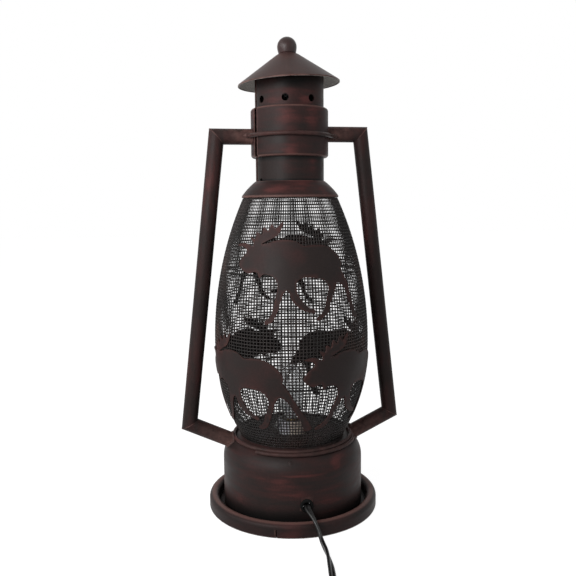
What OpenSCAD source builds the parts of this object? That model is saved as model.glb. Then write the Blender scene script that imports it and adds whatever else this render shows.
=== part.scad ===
// Lantern table lamp: a sheet metal lantern with a woven wire cage, moose cut-outs,
// a tube frame at each side, a small clip-in bulb and a flat cord with an in-line switch.
// X runs across the two side tubes, -Y is the side where the cord leaves, Z is up.
// The table is at z = 0.

/* [Base] */
// Outer diameter of the base tray
tray_d = 150; // [140:1:170]
// Height of the tray's rolled rim above the table
rim_h = 14; // [11:0.5:18]
// Radial width of the rolled rim
rim_w = 9; // [7:0.5:11]
// Sheet thickness of the spun and rolled steel parts
sheet = 0.8; // [0.6:0.1:1.1]
// Gap between the rim's lower edge and the table
rim_lift = 0.5; // [0.3:0.1:1]
// Thickness of the felt ring under the tray
felt_t = 1.5; // [1:0.25:3]
// Diameter of the opening in the bottom, for reaching the socket
access_d = 84; // [70:1:92]
// Width of the gutter between the drum and the rim
gutter = 4.2; // [2:0.2:8]
// Height of the drum's top plate above the table
drum_h = 64.5; // [58:0.5:72]
// Radius of the drum's rounded shoulder
shoulder_r = 20; // [12:1:24]
// Diameter of the socket's hole in the top plate
socket_hole_d = 27; // [26:0.5:30]
// Width of the open joint in the tray's rim
rim_joint = 0.6; // [0.3:0.1:1.2]

/* [Cage] */
// Outer diameter of the cage at its widest place
cage_d = 134.6; // [124:0.2:138]
// Outer diameter of the cage at its lower edge
cage_low_d = 92; // [84:1:98]
// Outer diameter of the cage at its upper edge
cage_top_d = 79.6; // [74:0.2:86]
// Height of the cage above the drum
cage_h = 210; // [190:1:230]
// Height of the widest place above the drum
cage_wide_h = 83.5; // [70:0.5:95]
// Thickness of the woven wire cloth
cloth_t = 1.1; // [0.9:0.1:1.4]
// Number of openings round the cage
grid_count = 24; // [12:2:24]
// Width of the bars between the openings
grid_bar = 4; // [3:0.5:5]
// Diameter of the two hoops inside the cloth
hoop_wire_d = 1.8; // [1.2:0.1:2.4]
// Height of the upper hoop above the drum
upper_hoop_h = 145.5; // [135:0.5:155]
// Height of the lower hoop above the drum
lower_hoop_h = 53.5; // [45:0.5:60]
// Diameter of the ring wire round the cage's foot
ring_wire_d = 3.2; // [2.4:0.1:4]
// Radius of the ring round the cage's foot
ring_r = 52; // [50:0.5:54]

/* [Cut-outs] */
// Thickness of the cut-out sheet
cutout_t = 0.8; // [0.6:0.1:1.2]
// Height of the upper moose's hooves above the drum
upper_moose_h = 107.8; // [102:0.2:112]
// Height of the lower moose's hooves above the drum
lower_moose_h = 17.8; // [14:0.2:22]

/* [Top] */
// Height of the skirt between the cage and the neck
skirt_h = 15.5; // [12:0.5:20]
// Radius of the skirt's bulge
skirt_bulge_r = 42; // [30:1:80]
// Outer diameter of the neck tube
neck_d = 58.4; // [54:0.2:62]
// Diameter of the vent holes in the neck tube
vent_d = 6.2; // [4:0.1:8]
// Number of vent holes
vent_count = 8; // [6:1:10]
// Width of the open joint down the neck tube
neck_joint = 1.2; // [0.6:0.1:2]
// Outer diameter of the collar
collar_d = 66; // [64:0.2:70]
// Height of the collar
collar_h = 41; // [36:0.5:46]
// Height of the collar's lower edge above the skirt
collar_rise = 18; // [14:0.5:22]
// Width of the open joint in the collar
collar_joint = 2; // [1:0.1:3]
// Diameter of the wire round the collar
collar_wire_d = 3.4; // [2.6:0.1:4]
// Diameter of the cap
cap_d = 86.4; // [80:0.4:94]
// Height of the cap's rim above the skirt
cap_rim_rise = 80.2; // [76:0.2:88]
// Height of the cap's cone
cap_rise = 24.5; // [20:0.5:30]
// Radius of the cap's flat tip
cap_tip_r = 8; // [6:0.5:10]
// Lean of the cap towards the left tube, as it was fitted
cap_lean = 2.5; // [0:0.5:3]
// Diameter of the ball on the cap
ball_d = 16.2; // [13:0.2:20]
// Diameter of the stud that holds the cap
stud_d = 5; // [4:0.5:6]

/* [Side frames] */
// Outer diameter of the frame tube
tube_d = 12.7; // [11:0.1:14]
// Wall of the frame tube
tube_wall = 1; // [0.8:0.1:1.6]
// Distance from the lamp's axis to a frame's upper corner
frame_top_x = 63; // [60:0.5:68]
// Distance from the lamp's axis to a frame's lower corner
frame_low_x = 91.5; // [88:0.5:98]
// Height of a frame's lower corner above the drum
frame_low_h = 12.5; // [10:0.5:18]

/* [Bulb and socket] */
// Height of the socket above the drum's top plate
socket_rise = 12; // [8:0.5:16]
// Length of the socket
socket_len = 39; // [34:0.5:42]
// Outer diameter of the socket's insulating sleeve
sleeve_d = 24; // [22.4:0.2:25]
// Diameter of the socket's core
core_d = 20.8; // [18:0.2:21]
// Outer diameter of the bulb's screw base
bulb_base_d = 12; // [11.6:0.1:12.2]
// Length of the bulb's screw base
bulb_base_len = 17; // [15:0.5:18]
// Diameter of the bulb's glass
glass_d = 20; // [18:0.5:25]
// Height of the glass above the screw base
glass_h = 48; // [40:1:54]

/* [Cord and switch] */
// Width of the flat cord
cord_w = 5.4; // [5:0.1:6]
// Thickness of the flat cord
cord_t = 2.7; // [2.5:0.1:3]
// Height of the cord's outlet above the table
outlet_h = 21.6; // [20:0.2:24]
// Outer diameter of the cord bushing's flange
bushing_d = 11; // [10:0.5:14]
// Length of the in-line switch
switch_len = 58; // [54:1:64]
// Width of the in-line switch
switch_w = 24; // [22:0.5:28]
// Height of the in-line switch
switch_h = 17; // [15:0.5:20]
// Diameter of the switch's wheel
wheel_d = 19; // [17:0.5:21]
// Number of ribs on the switch's wheel
wheel_ribs = 24; // [16:1:30]
// Length of the plug's body
plug_len = 26; // [22:1:32]
// Width of the plug's face
plug_w = 22; // [20:0.5:26]
// Thickness of the plug's body
plug_t = 13; // [11:0.5:16]

/* [Hidden] */

$fn = 96;
fine = 720;
fit_gap = 0.1;
run_gap = 0.05;
past = 1;

bronze = "#3a2a27";
dark_wire = "#1c1a1a";

// Places up the lamp's axis
floor_z = felt_t;
floor_top_z = floor_z + sheet;
drum_top_z = drum_h;
cage_top_z = drum_top_z + cage_h;
wide_z = drum_top_z + cage_wide_h;
skirt_lap = 2;
skirt_lip = 1.5;
skirt_z = cage_top_z - skirt_lap;
skirt_top_z = skirt_z + skirt_h;
neck_tuck = 4;
collar_z = skirt_top_z + collar_rise;
arm_drop = 1.5;
arm_z = collar_z + collar_h / 2 - arm_drop;
cap_rim_z = skirt_top_z + cap_rim_rise;
cap_top_z = cap_rim_z + cap_rise;
frame_low_z = drum_top_z + frame_low_h;

// Radii
tray_r = tray_d / 2;
drum_r = tray_r - rim_w - gutter;
cage_r = cage_d / 2;
neck_r = neck_d / 2;
collar_r = collar_d / 2;
cap_r = cap_d / 2;
tube_r = tube_d / 2;
shoulder_x = drum_r - shoulder_r;
shoulder_z = drum_top_z - shoulder_r;

// The cage's side is two arcs that meet at its widest place
function arc_radius(rise, inset) = (rise * rise + inset * inset) / (2 * inset);
upper_arc_r = arc_radius(cage_h - cage_wide_h, (cage_d - cage_top_d) / 2);
lower_arc_r = arc_radius(cage_wide_h, (cage_d - cage_low_d) / 2);
function cage_arc(z) = z > wide_z ? upper_arc_r : lower_arc_r;
function cage_outer(z) =
    cage_r - cage_arc(z) + sqrt(pow(cage_arc(z), 2) - pow(z - wide_z, 2));

// The skirt's lip fits over the cage's upper edge
skirt_r = cage_outer(skirt_z) + fit_gap + sheet;

// Azimuths are measured from -Y towards +X
function at_azimuth(a, r) = [r * sin(a), -r * cos(a)];
neck_joint_at = -75;
collar_joint_at = -70;
rim_joint_at = -21;
vent_phase = -17;
ring_end_at = -43;

module around(a) {
    rotate([0, 0, a]) children();
}

// A slot cut outwards through a wall at one azimuth
module radial_slot(a, r_in, r_out, width, z_low, z_high) {
    around(a)
        translate([-width / 2, -r_out, z_low])
            cube([width, r_out - r_in, z_high - z_low]);
}

// Outline of a spun shell with its floor side at the axis and one rounded outer corner
module shoulder_outline(r, top, bend) {
    translate([0, -past]) square([r, top - bend + past]);
    square([r - bend, top]);
    translate([r - bend, top - bend]) circle(r = bend);
}

module tray_rim_outline(inset) {
    bend = rim_w / 2 - inset;
    translate([tray_r - rim_w / 2, rim_h - rim_w / 2]) circle(r = bend);
    translate([tray_r - rim_w / 2 - bend, rim_lift - (inset > 0 ? past : 0)])
        square([2 * bend, rim_h - rim_w / 2 - rim_lift + (inset > 0 ? past : 0)]);
}

module tray_base() {
    color(bronze)
    difference() {
        rotate_extrude()
            union() {
                difference() {
                    tray_rim_outline(0);
                    tray_rim_outline(sheet);
                    // The rim's inner wall ends at the tray's floor
                    translate([tray_r - rim_w - past, 0])
                        square([sheet + past, floor_z]);
                }
                translate([access_d / 2, floor_z])
                    square([tray_r - rim_w + sheet - access_d / 2, sheet]);
            }
        radial_slot(rim_joint_at, tray_r - sheet - past, tray_r + past, rim_joint, 0, rim_h * 0.6);
    }
}

module felt_ring() {
    color("#26282a")
    difference() {
        cylinder(r = tray_r - rim_w - sheet, h = felt_t);
        translate([0, 0, -past]) cylinder(d = access_d, h = felt_t + 2 * past);
    }
}

// Hole for the cord bushing, along -Y at the outlet's height
module outlet_bore(d, y_near, y_far) {
    translate([0, -y_near, outlet_h])
        rotate([90, 0, 0])
            cylinder(d = d, h = y_far - y_near);
}

bushing_barrel_d = bushing_d - 1.8;
bushing_flange_t = 2.2;
outlet_y = drum_r + bushing_flange_t;

module drum_shell() {
    color(bronze)
    difference() {
        rotate_extrude()
            difference() {
                intersection() {
                    shoulder_outline(drum_r, drum_top_z, shoulder_r);
                    translate([0, floor_top_z]) square([drum_r + past, drum_top_z]);
                }
                shoulder_outline(drum_r - sheet, drum_top_z - sheet, shoulder_r - sheet);
                square([socket_hole_d / 2, drum_top_z + past]);
            }
        outlet_bore(bushing_barrel_d + fit_gap, drum_r - 5, drum_r + 5);
    }
}

// The ring is one wire that passes its own end and lies beside itself on the shoulder
ring_sit = shoulder_r + ring_wire_d / 2;
ring_angle = acos((ring_r - shoulder_x) / ring_sit);
ring_z = shoulder_z + ring_sit * sin(ring_angle);
lap_angle = ring_angle - 2 * asin((ring_wire_d / 2 + run_gap) / ring_sit);
lap_r = shoulder_x + ring_sit * cos(lap_angle);
lap_z = shoulder_z + ring_sit * sin(lap_angle);
lap_turn = 118;

module base_ring() {
    color(bronze) {
        rotate_extrude()
            translate([ring_r, ring_z]) circle(d = ring_wire_d, $fn = 32);
        around(ring_end_at - 90)
            rotate_extrude(angle = lap_turn)
                translate([lap_r, lap_z]) circle(d = ring_wire_d, $fn = 32);
    }
}

// The side is made of short straight bands that follow the arcs
band_count = 12;
band_h = cage_h / band_count;
band_heights = [for (i = [0 : band_count]) drum_top_z + i * band_h];

// A shell of those bands, from one distance outside the cage's outer face to another
module banded_side(heights, inner, outer) {
    last = len(heights) - 1;
    rotate_extrude()
        polygon(concat(
            [for (z = heights) [cage_outer(z) + outer, z]],
            [for (i = [last : -1 : 0]) [cage_outer(heights[i]) + inner, heights[i]]]
        ));
}

// The openings of the woven cloth, as a plain grid: one row in each band
module grid_openings() {
    for (z = [for (i = [0 : band_count - 1]) band_heights[i]], k = [0 : grid_count - 1])
        let (near_r = min(cage_outer(z), cage_outer(z + band_h)),
            width = 2 * near_r * sin(180 / grid_count) - grid_bar)
        around(k * 360 / grid_count)
            translate([-width / 2, -cage_r - past, z + grid_bar / 2])
                cube([width, cage_r + past - near_r + cloth_t + 2 * past, band_h - grid_bar]);
}

module mesh_cage() {
    color(dark_wire)
    difference() {
        banded_side(band_heights, -cloth_t, 0);
        grid_openings();
    }
}

module cage_hoop(z) {
    color(dark_wire)
    rotate_extrude()
        translate([cage_outer(z) - cloth_t - hoop_wire_d / 2 - 2 * fit_gap, z])
            circle(d = hoop_wire_d, $fn = 24);
}

module upper_hoop() {
    cage_hoop(drum_top_z + upper_hoop_h);
}

module lower_hoop() {
    cage_hoop(drum_top_z + lower_hoop_h);
}

// Head, antlers, back and rump of a walking moose that faces left, from the chest up.
// Its hooves stand at y = 0 and its middle is at x = 0.
moose_top = [
    [-38, 41], [-42, 39.5], [-46, 42], [-48, 45.5], [-47.5, 49], [-45, 53], [-42, 57],
    [-43.5, 60], [-48.5, 61.5], [-44.5, 63.5], [-40.5, 62.5], [-37.5, 61],
    [-37, 64], [-39, 68.5], [-35, 67], [-34, 72.5], [-30.5, 70], [-28.5, 76.5], [-25.5, 73],
    [-22.5, 79], [-20, 75], [-14, 80.5], [-15.5, 74.5], [-19, 69.5], [-25, 66.5], [-31, 63],
    [-27, 63.5], [-21, 65.5], [-13, 66.5], [-5, 65], [1, 61.5], [8, 62], [18, 61.5],
    [26, 57.5], [31.5, 51.5], [33, 46], [32, 43.5]
];
upper_hind = [
    [34.5, 38], [38, 30], [40.5, 21], [44, 9], [47, 3], [43.5, 2.5], [40.5, 9], [37.5, 19],
    [33.5, 29], [28, 31.5], [25.5, 25], [21.5, 16], [20, 9.5], [15.5, 5.5], [10.5, 2.5],
    [10, 5], [14.5, 9], [17, 14], [19, 22], [20.5, 27.5], [18, 33.5]
];
lower_hind = [
    [35.5, 37], [38.5, 28], [41.5, 18], [43.5, 8], [43.5, 1], [39.5, 0], [40, 7],
    [38, 16], [34, 27], [29.5, 31], [25.5, 27], [22.5, 20], [18.5, 11], [14, 3], [8.5, 0.5],
    [6, 2.5], [11, 6], [15, 14], [19, 22], [20, 28], [17, 33.5]
];
moose_fore = [
    [8, 36.5], [-1, 36.5], [-5.5, 33.5], [-5.5, 25], [-1, 17.5], [4, 13], [8.5, 11.2],
    [8, 8.7], [3, 9.8], [-3, 12.5], [-9.5, 18.5], [-13, 27], [-16, 25], [-19, 17.5],
    [-22, 9], [-25.5, 2.5], [-31, 0], [-31.5, 2], [-27, 6.5], [-24.5, 12], [-22.5, 21],
    [-20.5, 29.5], [-22.5, 36.5], [-27, 39], [-31, 39.5], [-34, 36.5], [-35.5, 40.5]
];

// The cut-outs' sheet is bent round the cage and creased where its bands meet
moose_h = 82;
cutout_gap = 0.2;

// A moose cut from that sheet, seen straight on at an azimuth
module moose_on_cage(azimuth, hoof_z, hind) {
    near_bands = [for (z = band_heights) if (z > hoof_z - band_h && z < hoof_z + moose_h + band_h) z];
    intersection() {
        banded_side(near_bands, cutout_gap, cutout_gap + cutout_t);
        around(azimuth)
            translate([0, 0, hoof_z])
                rotate([90, 0, 0])
                    linear_extrude(height = cage_r + cutout_gap + cutout_t + past)
                        polygon(concat(moose_top, hind, moose_fore));
    }
}

module upper_moose() {
    color(bronze)
    for (a = [-1, 179])
        moose_on_cage(a, drum_top_z + upper_moose_h, upper_hind);
}

module lower_moose() {
    color(bronze)
    for (a = [-46, 44, 134, 224])
        moose_on_cage(a, drum_top_z + lower_moose_h, lower_hind);
}

// The skirt's side bulges between its rim and the neck
function arc_centre(p, q, r) =
    let (m = (p + q) / 2, d = q - p, l = norm(d), h = sqrt(r * r - l * l / 4))
    m + h * [-d[1], d[0]] / l;
skirt_from = [skirt_r, skirt_z + skirt_lip];
skirt_to = [neck_r + sheet, skirt_top_z];
skirt_centre = arc_centre(skirt_from, skirt_to, skirt_bulge_r);

module skirt_outline(inset) {
    hole_r = neck_r + run_gap;
    intersection() {
        translate(skirt_centre) circle(r = skirt_bulge_r - inset, $fn = fine);
        translate([hole_r, skirt_from[1]]) square([skirt_r, skirt_h - skirt_lip]);
    }
    translate([hole_r, skirt_z - (inset > 0 ? past : 0)])
        square([skirt_r - hole_r - inset, skirt_lip + (inset > 0 ? past : 0)]);
}

module shoulder_skirt() {
    color(bronze)
    rotate_extrude()
        difference() {
            skirt_outline(0);
            skirt_outline(sheet);
        }
}

// The cap's cone, and how high it lies over the top of the neck tube
cap_slope = cap_rise / (cap_r - cap_tip_r);
cap_drop = sheet * sqrt(1 + cap_slope * cap_slope);
function cap_under(r) = cap_top_z - (r - cap_tip_r) * cap_slope - cap_drop;
neck_top_z = cap_under(neck_r) - neck_r * sin(cap_lean) - fit_gap;
neck_low_z = skirt_top_z - neck_tuck;
vent_z = cap_rim_z - 13.2;

module neck_tube() {
    color(bronze)
    difference() {
        translate([0, 0, neck_low_z]) cylinder(r = neck_r, h = neck_top_z - neck_low_z);
        translate([0, 0, neck_low_z - past])
            cylinder(r = neck_r - sheet, h = neck_top_z - neck_low_z + 2 * past);
        for (i = [0 : vent_count - 1])
            around(vent_phase + i * 360 / vent_count)
                translate([0, 0, vent_z])
                    rotate([90, 0, 0])
                        cylinder(d = vent_d, h = neck_r + past, $fn = 32);
        radial_slot(neck_joint_at, neck_r - sheet - past, neck_r + past, neck_joint,
            neck_low_z - past, neck_top_z + past);
    }
}

// The collar is a spun band whose two edges turn in to the neck tube
collar_bend = 2.5;
module collar_outline(inset) {
    low = collar_z + inset;
    high = collar_z + collar_h - inset;
    bend = collar_bend - inset;
    corner_r = collar_r - collar_bend;
    near = neck_r + run_gap - (inset > 0 ? past : 0);
    difference() {
        translate([near, low]) square([collar_r - inset - near, high - low]);
        difference() {
            translate([corner_r, low - past]) square(bend + past);
            translate([corner_r, low + bend]) circle(r = bend, $fn = 48);
        }
        difference() {
            translate([corner_r, high - bend]) square(bend + past);
            translate([corner_r, high - bend]) circle(r = bend, $fn = 48);
        }
    }
}

module collar_sleeve() {
    color(bronze)
    difference() {
        rotate_extrude()
            difference() {
                collar_outline(0);
                collar_outline(sheet);
            }
        radial_slot(collar_joint_at, neck_r - past, collar_r + past, collar_joint,
            collar_z - past, collar_z + collar_h + past);
    }
}

// A wire bent round the front and one round the back of the collar.
// Its ends are pinched and lie along the sides of the top arms.
collar_wire_r = collar_r + collar_wire_d / 2;
collar_wire_z = arm_z - 1;
wire_side_y = tube_r + collar_wire_d / 2 + run_gap;
wire_turn = acos(wire_side_y / collar_wire_r);
wire_end_len = 7;
wire_pinch = 0.3;

module collar_wires() {
    color(bronze)
    for (side = [0, 180])
        around(side)
            translate([0, 0, collar_wire_z]) {
                around(-90 - wire_turn)
                    rotate_extrude(angle = 2 * wire_turn)
                        translate([collar_wire_r, 0]) circle(d = collar_wire_d, $fn = 32);
                for (s = [-1, 1])
                    translate([s * (collar_wire_r * sin(wire_turn) - 1), -wire_side_y, 0])
                        rotate([0, s * 90, 0])
                            cylinder(d = collar_wire_d - wire_pinch, h = wire_end_len, $fn = 32);
            }
}

// The frame's centre line on the right side: collar, upper corner, lower corner, foot
frame_line = [
    [collar_r, arm_z],
    [frame_top_x, arm_z],
    [frame_low_x, frame_low_z],
    [ring_r, drum_top_z - 6]
];
function angle_of(v) = atan2(v[1], v[0]);
function unit(v) = v / norm(v);
// Direction of the mitre face at an inner point of the line
function mitre_angle(i) =
    angle_of(unit(frame_line[i] - frame_line[i - 1]) + unit(frame_line[i + 1] - frame_line[i]));

// A tube along one stretch of the line, longer than the stretch at both ends
module frame_stretch(i) {
    from = frame_line[i];
    to = frame_line[i + 1];
    over = 2 * tube_d;
    translate([from[0], 0, from[1]])
        rotate([0, 90 - angle_of(to - from), 0])
            translate([0, 0, -over])
                difference() {
                    cylinder(r = tube_r, h = norm(to - from) + 2 * over, $fn = 48);
                    translate([0, 0, -past])
                        cylinder(r = tube_r - tube_wall, h = norm(to - from) + 2 * over + 2 * past,
                            $fn = 48);
                }
}

// Everything beyond a mitre face, away from or towards the collar
module beyond_mitre(i, side) {
    block = 6 * tube_d;
    translate([frame_line[i][0], 0, frame_line[i][1]])
        rotate([0, -mitre_angle(i), 0])
            translate([side > 0 ? 0 : -block, -block / 2, -block / 2])
                cube(block);
}

// The drum with its ring, as the space a lower arm is cut to fit
module foot_seat() {
    rotate_extrude() shoulder_outline(drum_r, drum_top_z, shoulder_r);
    cylinder(r = ring_r + ring_wire_d / 2 + run_gap, h = frame_low_z + tube_d);
    rotate_extrude()
        translate([lap_r, lap_z]) circle(r = ring_wire_d / 2 + run_gap, $fn = 32);
}

module top_arm() {
    color(bronze)
    difference() {
        frame_stretch(0);
        beyond_mitre(1, 1);
        translate([0, 0, arm_z - tube_d]) cylinder(r = collar_r, h = 2 * tube_d);
    }
}

module post() {
    color(bronze)
    difference() {
        frame_stretch(1);
        beyond_mitre(1, -1);
        beyond_mitre(2, 1);
    }
}

module lower_arm() {
    color(bronze)
    difference() {
        frame_stretch(2);
        beyond_mitre(2, -1);
        foot_seat();
    }
}

module right_top_arm() {
    top_arm();
}

module right_post() {
    post();
}

module right_lower_arm() {
    lower_arm();
}

module left_top_arm() {
    mirror([1, 0, 0]) top_arm();
}

module left_post() {
    mirror([1, 0, 0]) post();
}

module left_lower_arm() {
    mirror([1, 0, 0]) lower_arm();
}

// The cap, its stud, nuts and ball lean together about the bar inside the neck
bar_z = vent_z + vent_d / 2 + 4;
bar_t = 1.5;
bar_w = 12;
module leaning() {
    translate([0, 0, bar_z])
        rotate([0, -cap_lean, 0])
            translate([0, 0, -bar_z])
                children();
}

cap_lip = 1;
module cap_cone() {
    color(bronze)
    leaning()
        rotate_extrude()
            polygon([
                [stud_d / 2 + fit_gap, cap_top_z],
                [cap_tip_r, cap_top_z],
                [cap_r, cap_rim_z],
                [cap_r, cap_rim_z - cap_lip],
                [cap_r - sheet, cap_rim_z - cap_lip],
                [cap_r - sheet, cap_under(cap_r - sheet)],
                [cap_tip_r, cap_top_z - cap_drop],
                [stud_d / 2 + fit_gap, cap_top_z - cap_drop]
            ]);
}

module cap_bar() {
    color("#8a8a88")
    difference() {
        intersection() {
            translate([-neck_r, -bar_w / 2, bar_z]) cube([2 * neck_r, bar_w, bar_t]);
            translate([0, 0, bar_z - past])
                cylinder(r = neck_r - sheet - run_gap, h = bar_t + 2 * past);
        }
        leaning()
            translate([0, 0, bar_z - past])
                cylinder(d = stud_d + 2 * fit_gap, h = bar_t + 2 * past, $fn = 48);
    }
}

nut_h = 4;
nut_af = 1.6 * stud_d;
nut_seat = fit_gap + nut_af / 2 / cos(30) * sin(cap_lean);
ball_seat_z = cap_top_z + fit_gap;
ball_sink = 0.9;
ball_z = ball_seat_z + ball_d / 2 - ball_sink;
stud_top_z = ball_z + ball_d / 8;
stud_low_z = bar_z - nut_h - 2.5;

module cap_stud() {
    color("#b0b0ac")
    leaning()
        translate([0, 0, stud_low_z])
            cylinder(r = stud_d / 2 - run_gap, h = stud_top_z - stud_low_z, $fn = 48);
}

module hex_nut(z) {
    translate([0, 0, z])
        difference() {
            cylinder(d = nut_af / cos(30), h = nut_h, $fn = 6);
            translate([0, 0, -past]) cylinder(d = stud_d, h = nut_h + 2 * past, $fn = 48);
        }
}

module stud_nuts() {
    color("#b0b0ac")
    leaning() {
        hex_nut(bar_z - nut_h - nut_seat);
        hex_nut(bar_z + bar_t + nut_seat);
    }
}

module finial_ball() {
    color(bronze)
    leaning()
        difference() {
            translate([0, 0, ball_z]) sphere(d = ball_d);
            translate([-ball_d, -ball_d, ball_seat_z - ball_d]) cube([2 * ball_d, 2 * ball_d, ball_d]);
            translate([0, 0, ball_seat_z - past])
                cylinder(d = stud_d, h = stud_top_z - ball_seat_z + past + 0.5, $fn = 48);
        }
}

// The socket hangs through the top plate and is held there by its two spring wings
socket_top_z = drum_top_z + socket_rise;
socket_low_z = socket_top_z - socket_len;
shell_wall = 0.4;
shell_bore_d = bulb_base_d + 0.16;
shell_d = shell_bore_d + 2 * shell_wall;
shell_low_z = socket_top_z - bulb_base_len - 1.5;
bulb_base_z = socket_top_z - bulb_base_len + 0.5;
bulb_neck_z = bulb_base_z + bulb_base_len;

module socket_body() {
    color("#141414")
    difference() {
        translate([0, 0, socket_low_z])
            cylinder(d = core_d, h = socket_top_z - 1 - socket_low_z);
        translate([0, 0, shell_low_z])
            cylinder(d = shell_d + 2 * run_gap, h = socket_len);
    }
}

module socket_sleeve() {
    color("#b9ab90")
    difference() {
        translate([0, 0, socket_low_z + 4]) cylinder(d = sleeve_d, h = socket_len - 4);
        translate([0, 0, socket_low_z]) cylinder(d = core_d + 2 * fit_gap, h = 2 * socket_len);
    }
}

module socket_shell() {
    color("#b8923f")
    difference() {
        translate([0, 0, shell_low_z]) cylinder(d = shell_d, h = socket_top_z - 1.5 - shell_low_z);
        translate([0, 0, shell_low_z + shell_wall]) cylinder(d = shell_bore_d, h = socket_len);
        translate([0, 0, shell_low_z - past]) cylinder(d = 7, h = socket_len);
    }
}

module socket_contact() {
    color("#b8923f")
    translate([0, 0, shell_low_z])
        cylinder(d = 5, h = bulb_base_z - fit_gap - shell_low_z, $fn = 48);
}

clip_t = 0.6;
clip_w = 8;
module socket_clip() {
    seat = sleeve_d / 2 + fit_gap;
    plate_low = drum_top_z - sheet;
    wing = [
        [0, socket_low_z - clip_t], [seat + clip_t, socket_low_z - clip_t],
        [seat + clip_t, plate_low - 4], [seat + 5, plate_low - 2],
        [seat + 5, plate_low - fit_gap], [seat + clip_t, plate_low - fit_gap],
        [seat + clip_t, drum_top_z + 0.5], [seat + 3.6, drum_top_z + 4],
        [seat + 1.4, drum_top_z + 9], [seat + 0.8, drum_top_z + 9],
        [seat + 3, drum_top_z + 4], [seat, drum_top_z + 1], [seat, socket_low_z],
        [0, socket_low_z]
    ];
    color("#9a9a96")
    difference() {
        for (s = [0, 1])
            mirror([s, 0, 0])
                translate([0, clip_w / 2, 0])
                    rotate([90, 0, 0])
                        linear_extrude(height = clip_w) polygon(wing);
        translate([0, 0, socket_low_z - clip_t - past])
            cylinder(d = cord_w + 1.2, h = clip_t + 2 * past, $fn = 48);
    }
}

glass_t = 0.6;
glass_r = glass_d / 2;
glass_neck = 8;
module glass_outline(inset) {
    low = bulb_neck_z;
    high = bulb_neck_z + glass_h;
    r = glass_r - inset;
    neck = bulb_base_d / 2 - 0.4 - inset;
    translate([0, high - glass_r]) intersection() {
        circle(r = r);
        square(glass_d);
    }
    polygon([[0, low - (inset > 0 ? past : 0)], [neck, low - (inset > 0 ? past : 0)],
        [neck, low + 1.5], [r, low + glass_neck], [r, high - glass_r], [0, high - glass_r]]);
}

module bulb_glass() {
    color("#dfe6e8", 0.4)
    rotate_extrude()
        difference() {
            glass_outline(0);
            glass_outline(glass_t);
        }
}

module bulb_base() {
    color("#c2a45a")
    union() {
        translate([0, 0, bulb_base_z + 2.5])
            cylinder(d = bulb_base_d, h = bulb_base_len - 2.5);
        translate([0, 0, bulb_base_z + 0.8])
            cylinder(d1 = 6, d2 = bulb_base_d - 1, h = 1.7, $fn = 48);
        translate([0, 0, bulb_base_z]) cylinder(d = 4, h = 0.8, $fn = 32);
    }
}

// The mount inside the glass: a stem, two lead wires and the filament
filament_z = bulb_neck_z + glass_h * 0.55;
module bulb_filament() {
    stem_h = 12;
    lead_x = 4;
    color("#9aa0a4") {
        translate([0, 0, bulb_neck_z + fit_gap]) cylinder(d = 5, h = stem_h, $fn = 32);
        for (s = [-1, 1])
            translate([s * lead_x / 2, 0, bulb_neck_z + fit_gap + stem_h - past])
                rotate([0, s * atan(lead_x / 2 / (filament_z - bulb_neck_z - stem_h)), 0])
                    cylinder(d = 0.6, h = filament_z - bulb_neck_z - stem_h + past, $fn = 16);
        translate([-lead_x, 0, filament_z])
            rotate([0, 90, 0])
                cylinder(d = 0.8, h = 2 * lead_x, $fn = 16);
    }
}

bushing_bore_d = cord_w + 1.2;
module cord_bushing() {
    color("#101010")
    difference() {
        union() {
            outlet_bore(bushing_d, drum_r, outlet_y);
            outlet_bore(bushing_barrel_d, drum_r - 4, drum_r);
        }
        outlet_bore(bushing_bore_d, drum_r - 4 - past, outlet_y + past);
    }
}

// A flat cord is swept along a route. Each route point is [x, y, z, roll]:
// with roll 0 the cord lies flat, with roll 90 it stands on its edge.
flat_section = [
    [0.5, 0.25], [0.36, 0.5], [-0.36, 0.5], [-0.5, 0.25],
    [-0.5, -0.25], [-0.36, -0.5], [0.36, -0.5], [0.5, -0.25]
];
coil_section = [[0.5, 0], [0.34, 0.5], [-0.34, 0.5], [-0.5, 0], [-0.34, -0.5], [0.34, -0.5]];

function place(p) = [p[0], p[1], p[2]];
function heading(route, i, first, last) =
    i == 0 ? first :
    i == len(route) - 1 ? last :
    unit(place(route[i + 1]) - place(route[i - 1]));
function side_of(way) =
    way[2] < -0.99 ? [-1, 0, 0] : unit(cross(way, [0, 0, 1]));
function cord_ring(p, way, section) =
    let (side = side_of(way), up = cross(side, way), roll = p[3])
    [for (s = section)
        let (a = s[0] * cord_w, b = s[1] * cord_t)
        place(p) + side * (a * cos(roll) - b * sin(roll)) + up * (a * sin(roll) + b * cos(roll))];
function sweep_points(route, first, last, section) = [
    for (i = [0 : len(route) - 1])
        each cord_ring(route[i], heading(route, i, first, last), section)
];
function sweep_faces(rings, sides) = concat(
    [for (k = [1 : sides - 2]) [0, k, k + 1]],
    [for (i = [0 : rings - 2], k = [0 : sides - 1])
        [i * sides + k, (i + 1) * sides + k, (i + 1) * sides + (k + 1) % sides]],
    [for (i = [0 : rings - 2], k = [0 : sides - 1])
        [i * sides + k, (i + 1) * sides + (k + 1) % sides, i * sides + (k + 1) % sides]],
    [for (k = [1 : sides - 2])
        [(rings - 1) * sides, (rings - 1) * sides + k + 1, (rings - 1) * sides + k]]
);

module flat_cord(route, first, last, section) {
    color("#0c0c0c")
    polyhedron(
        points = sweep_points(route, first, last, section),
        faces = sweep_faces(len(route), len(section))
    );
}

to_front = [0, -1, 0];
to_back = [0, 1, 0];

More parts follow.
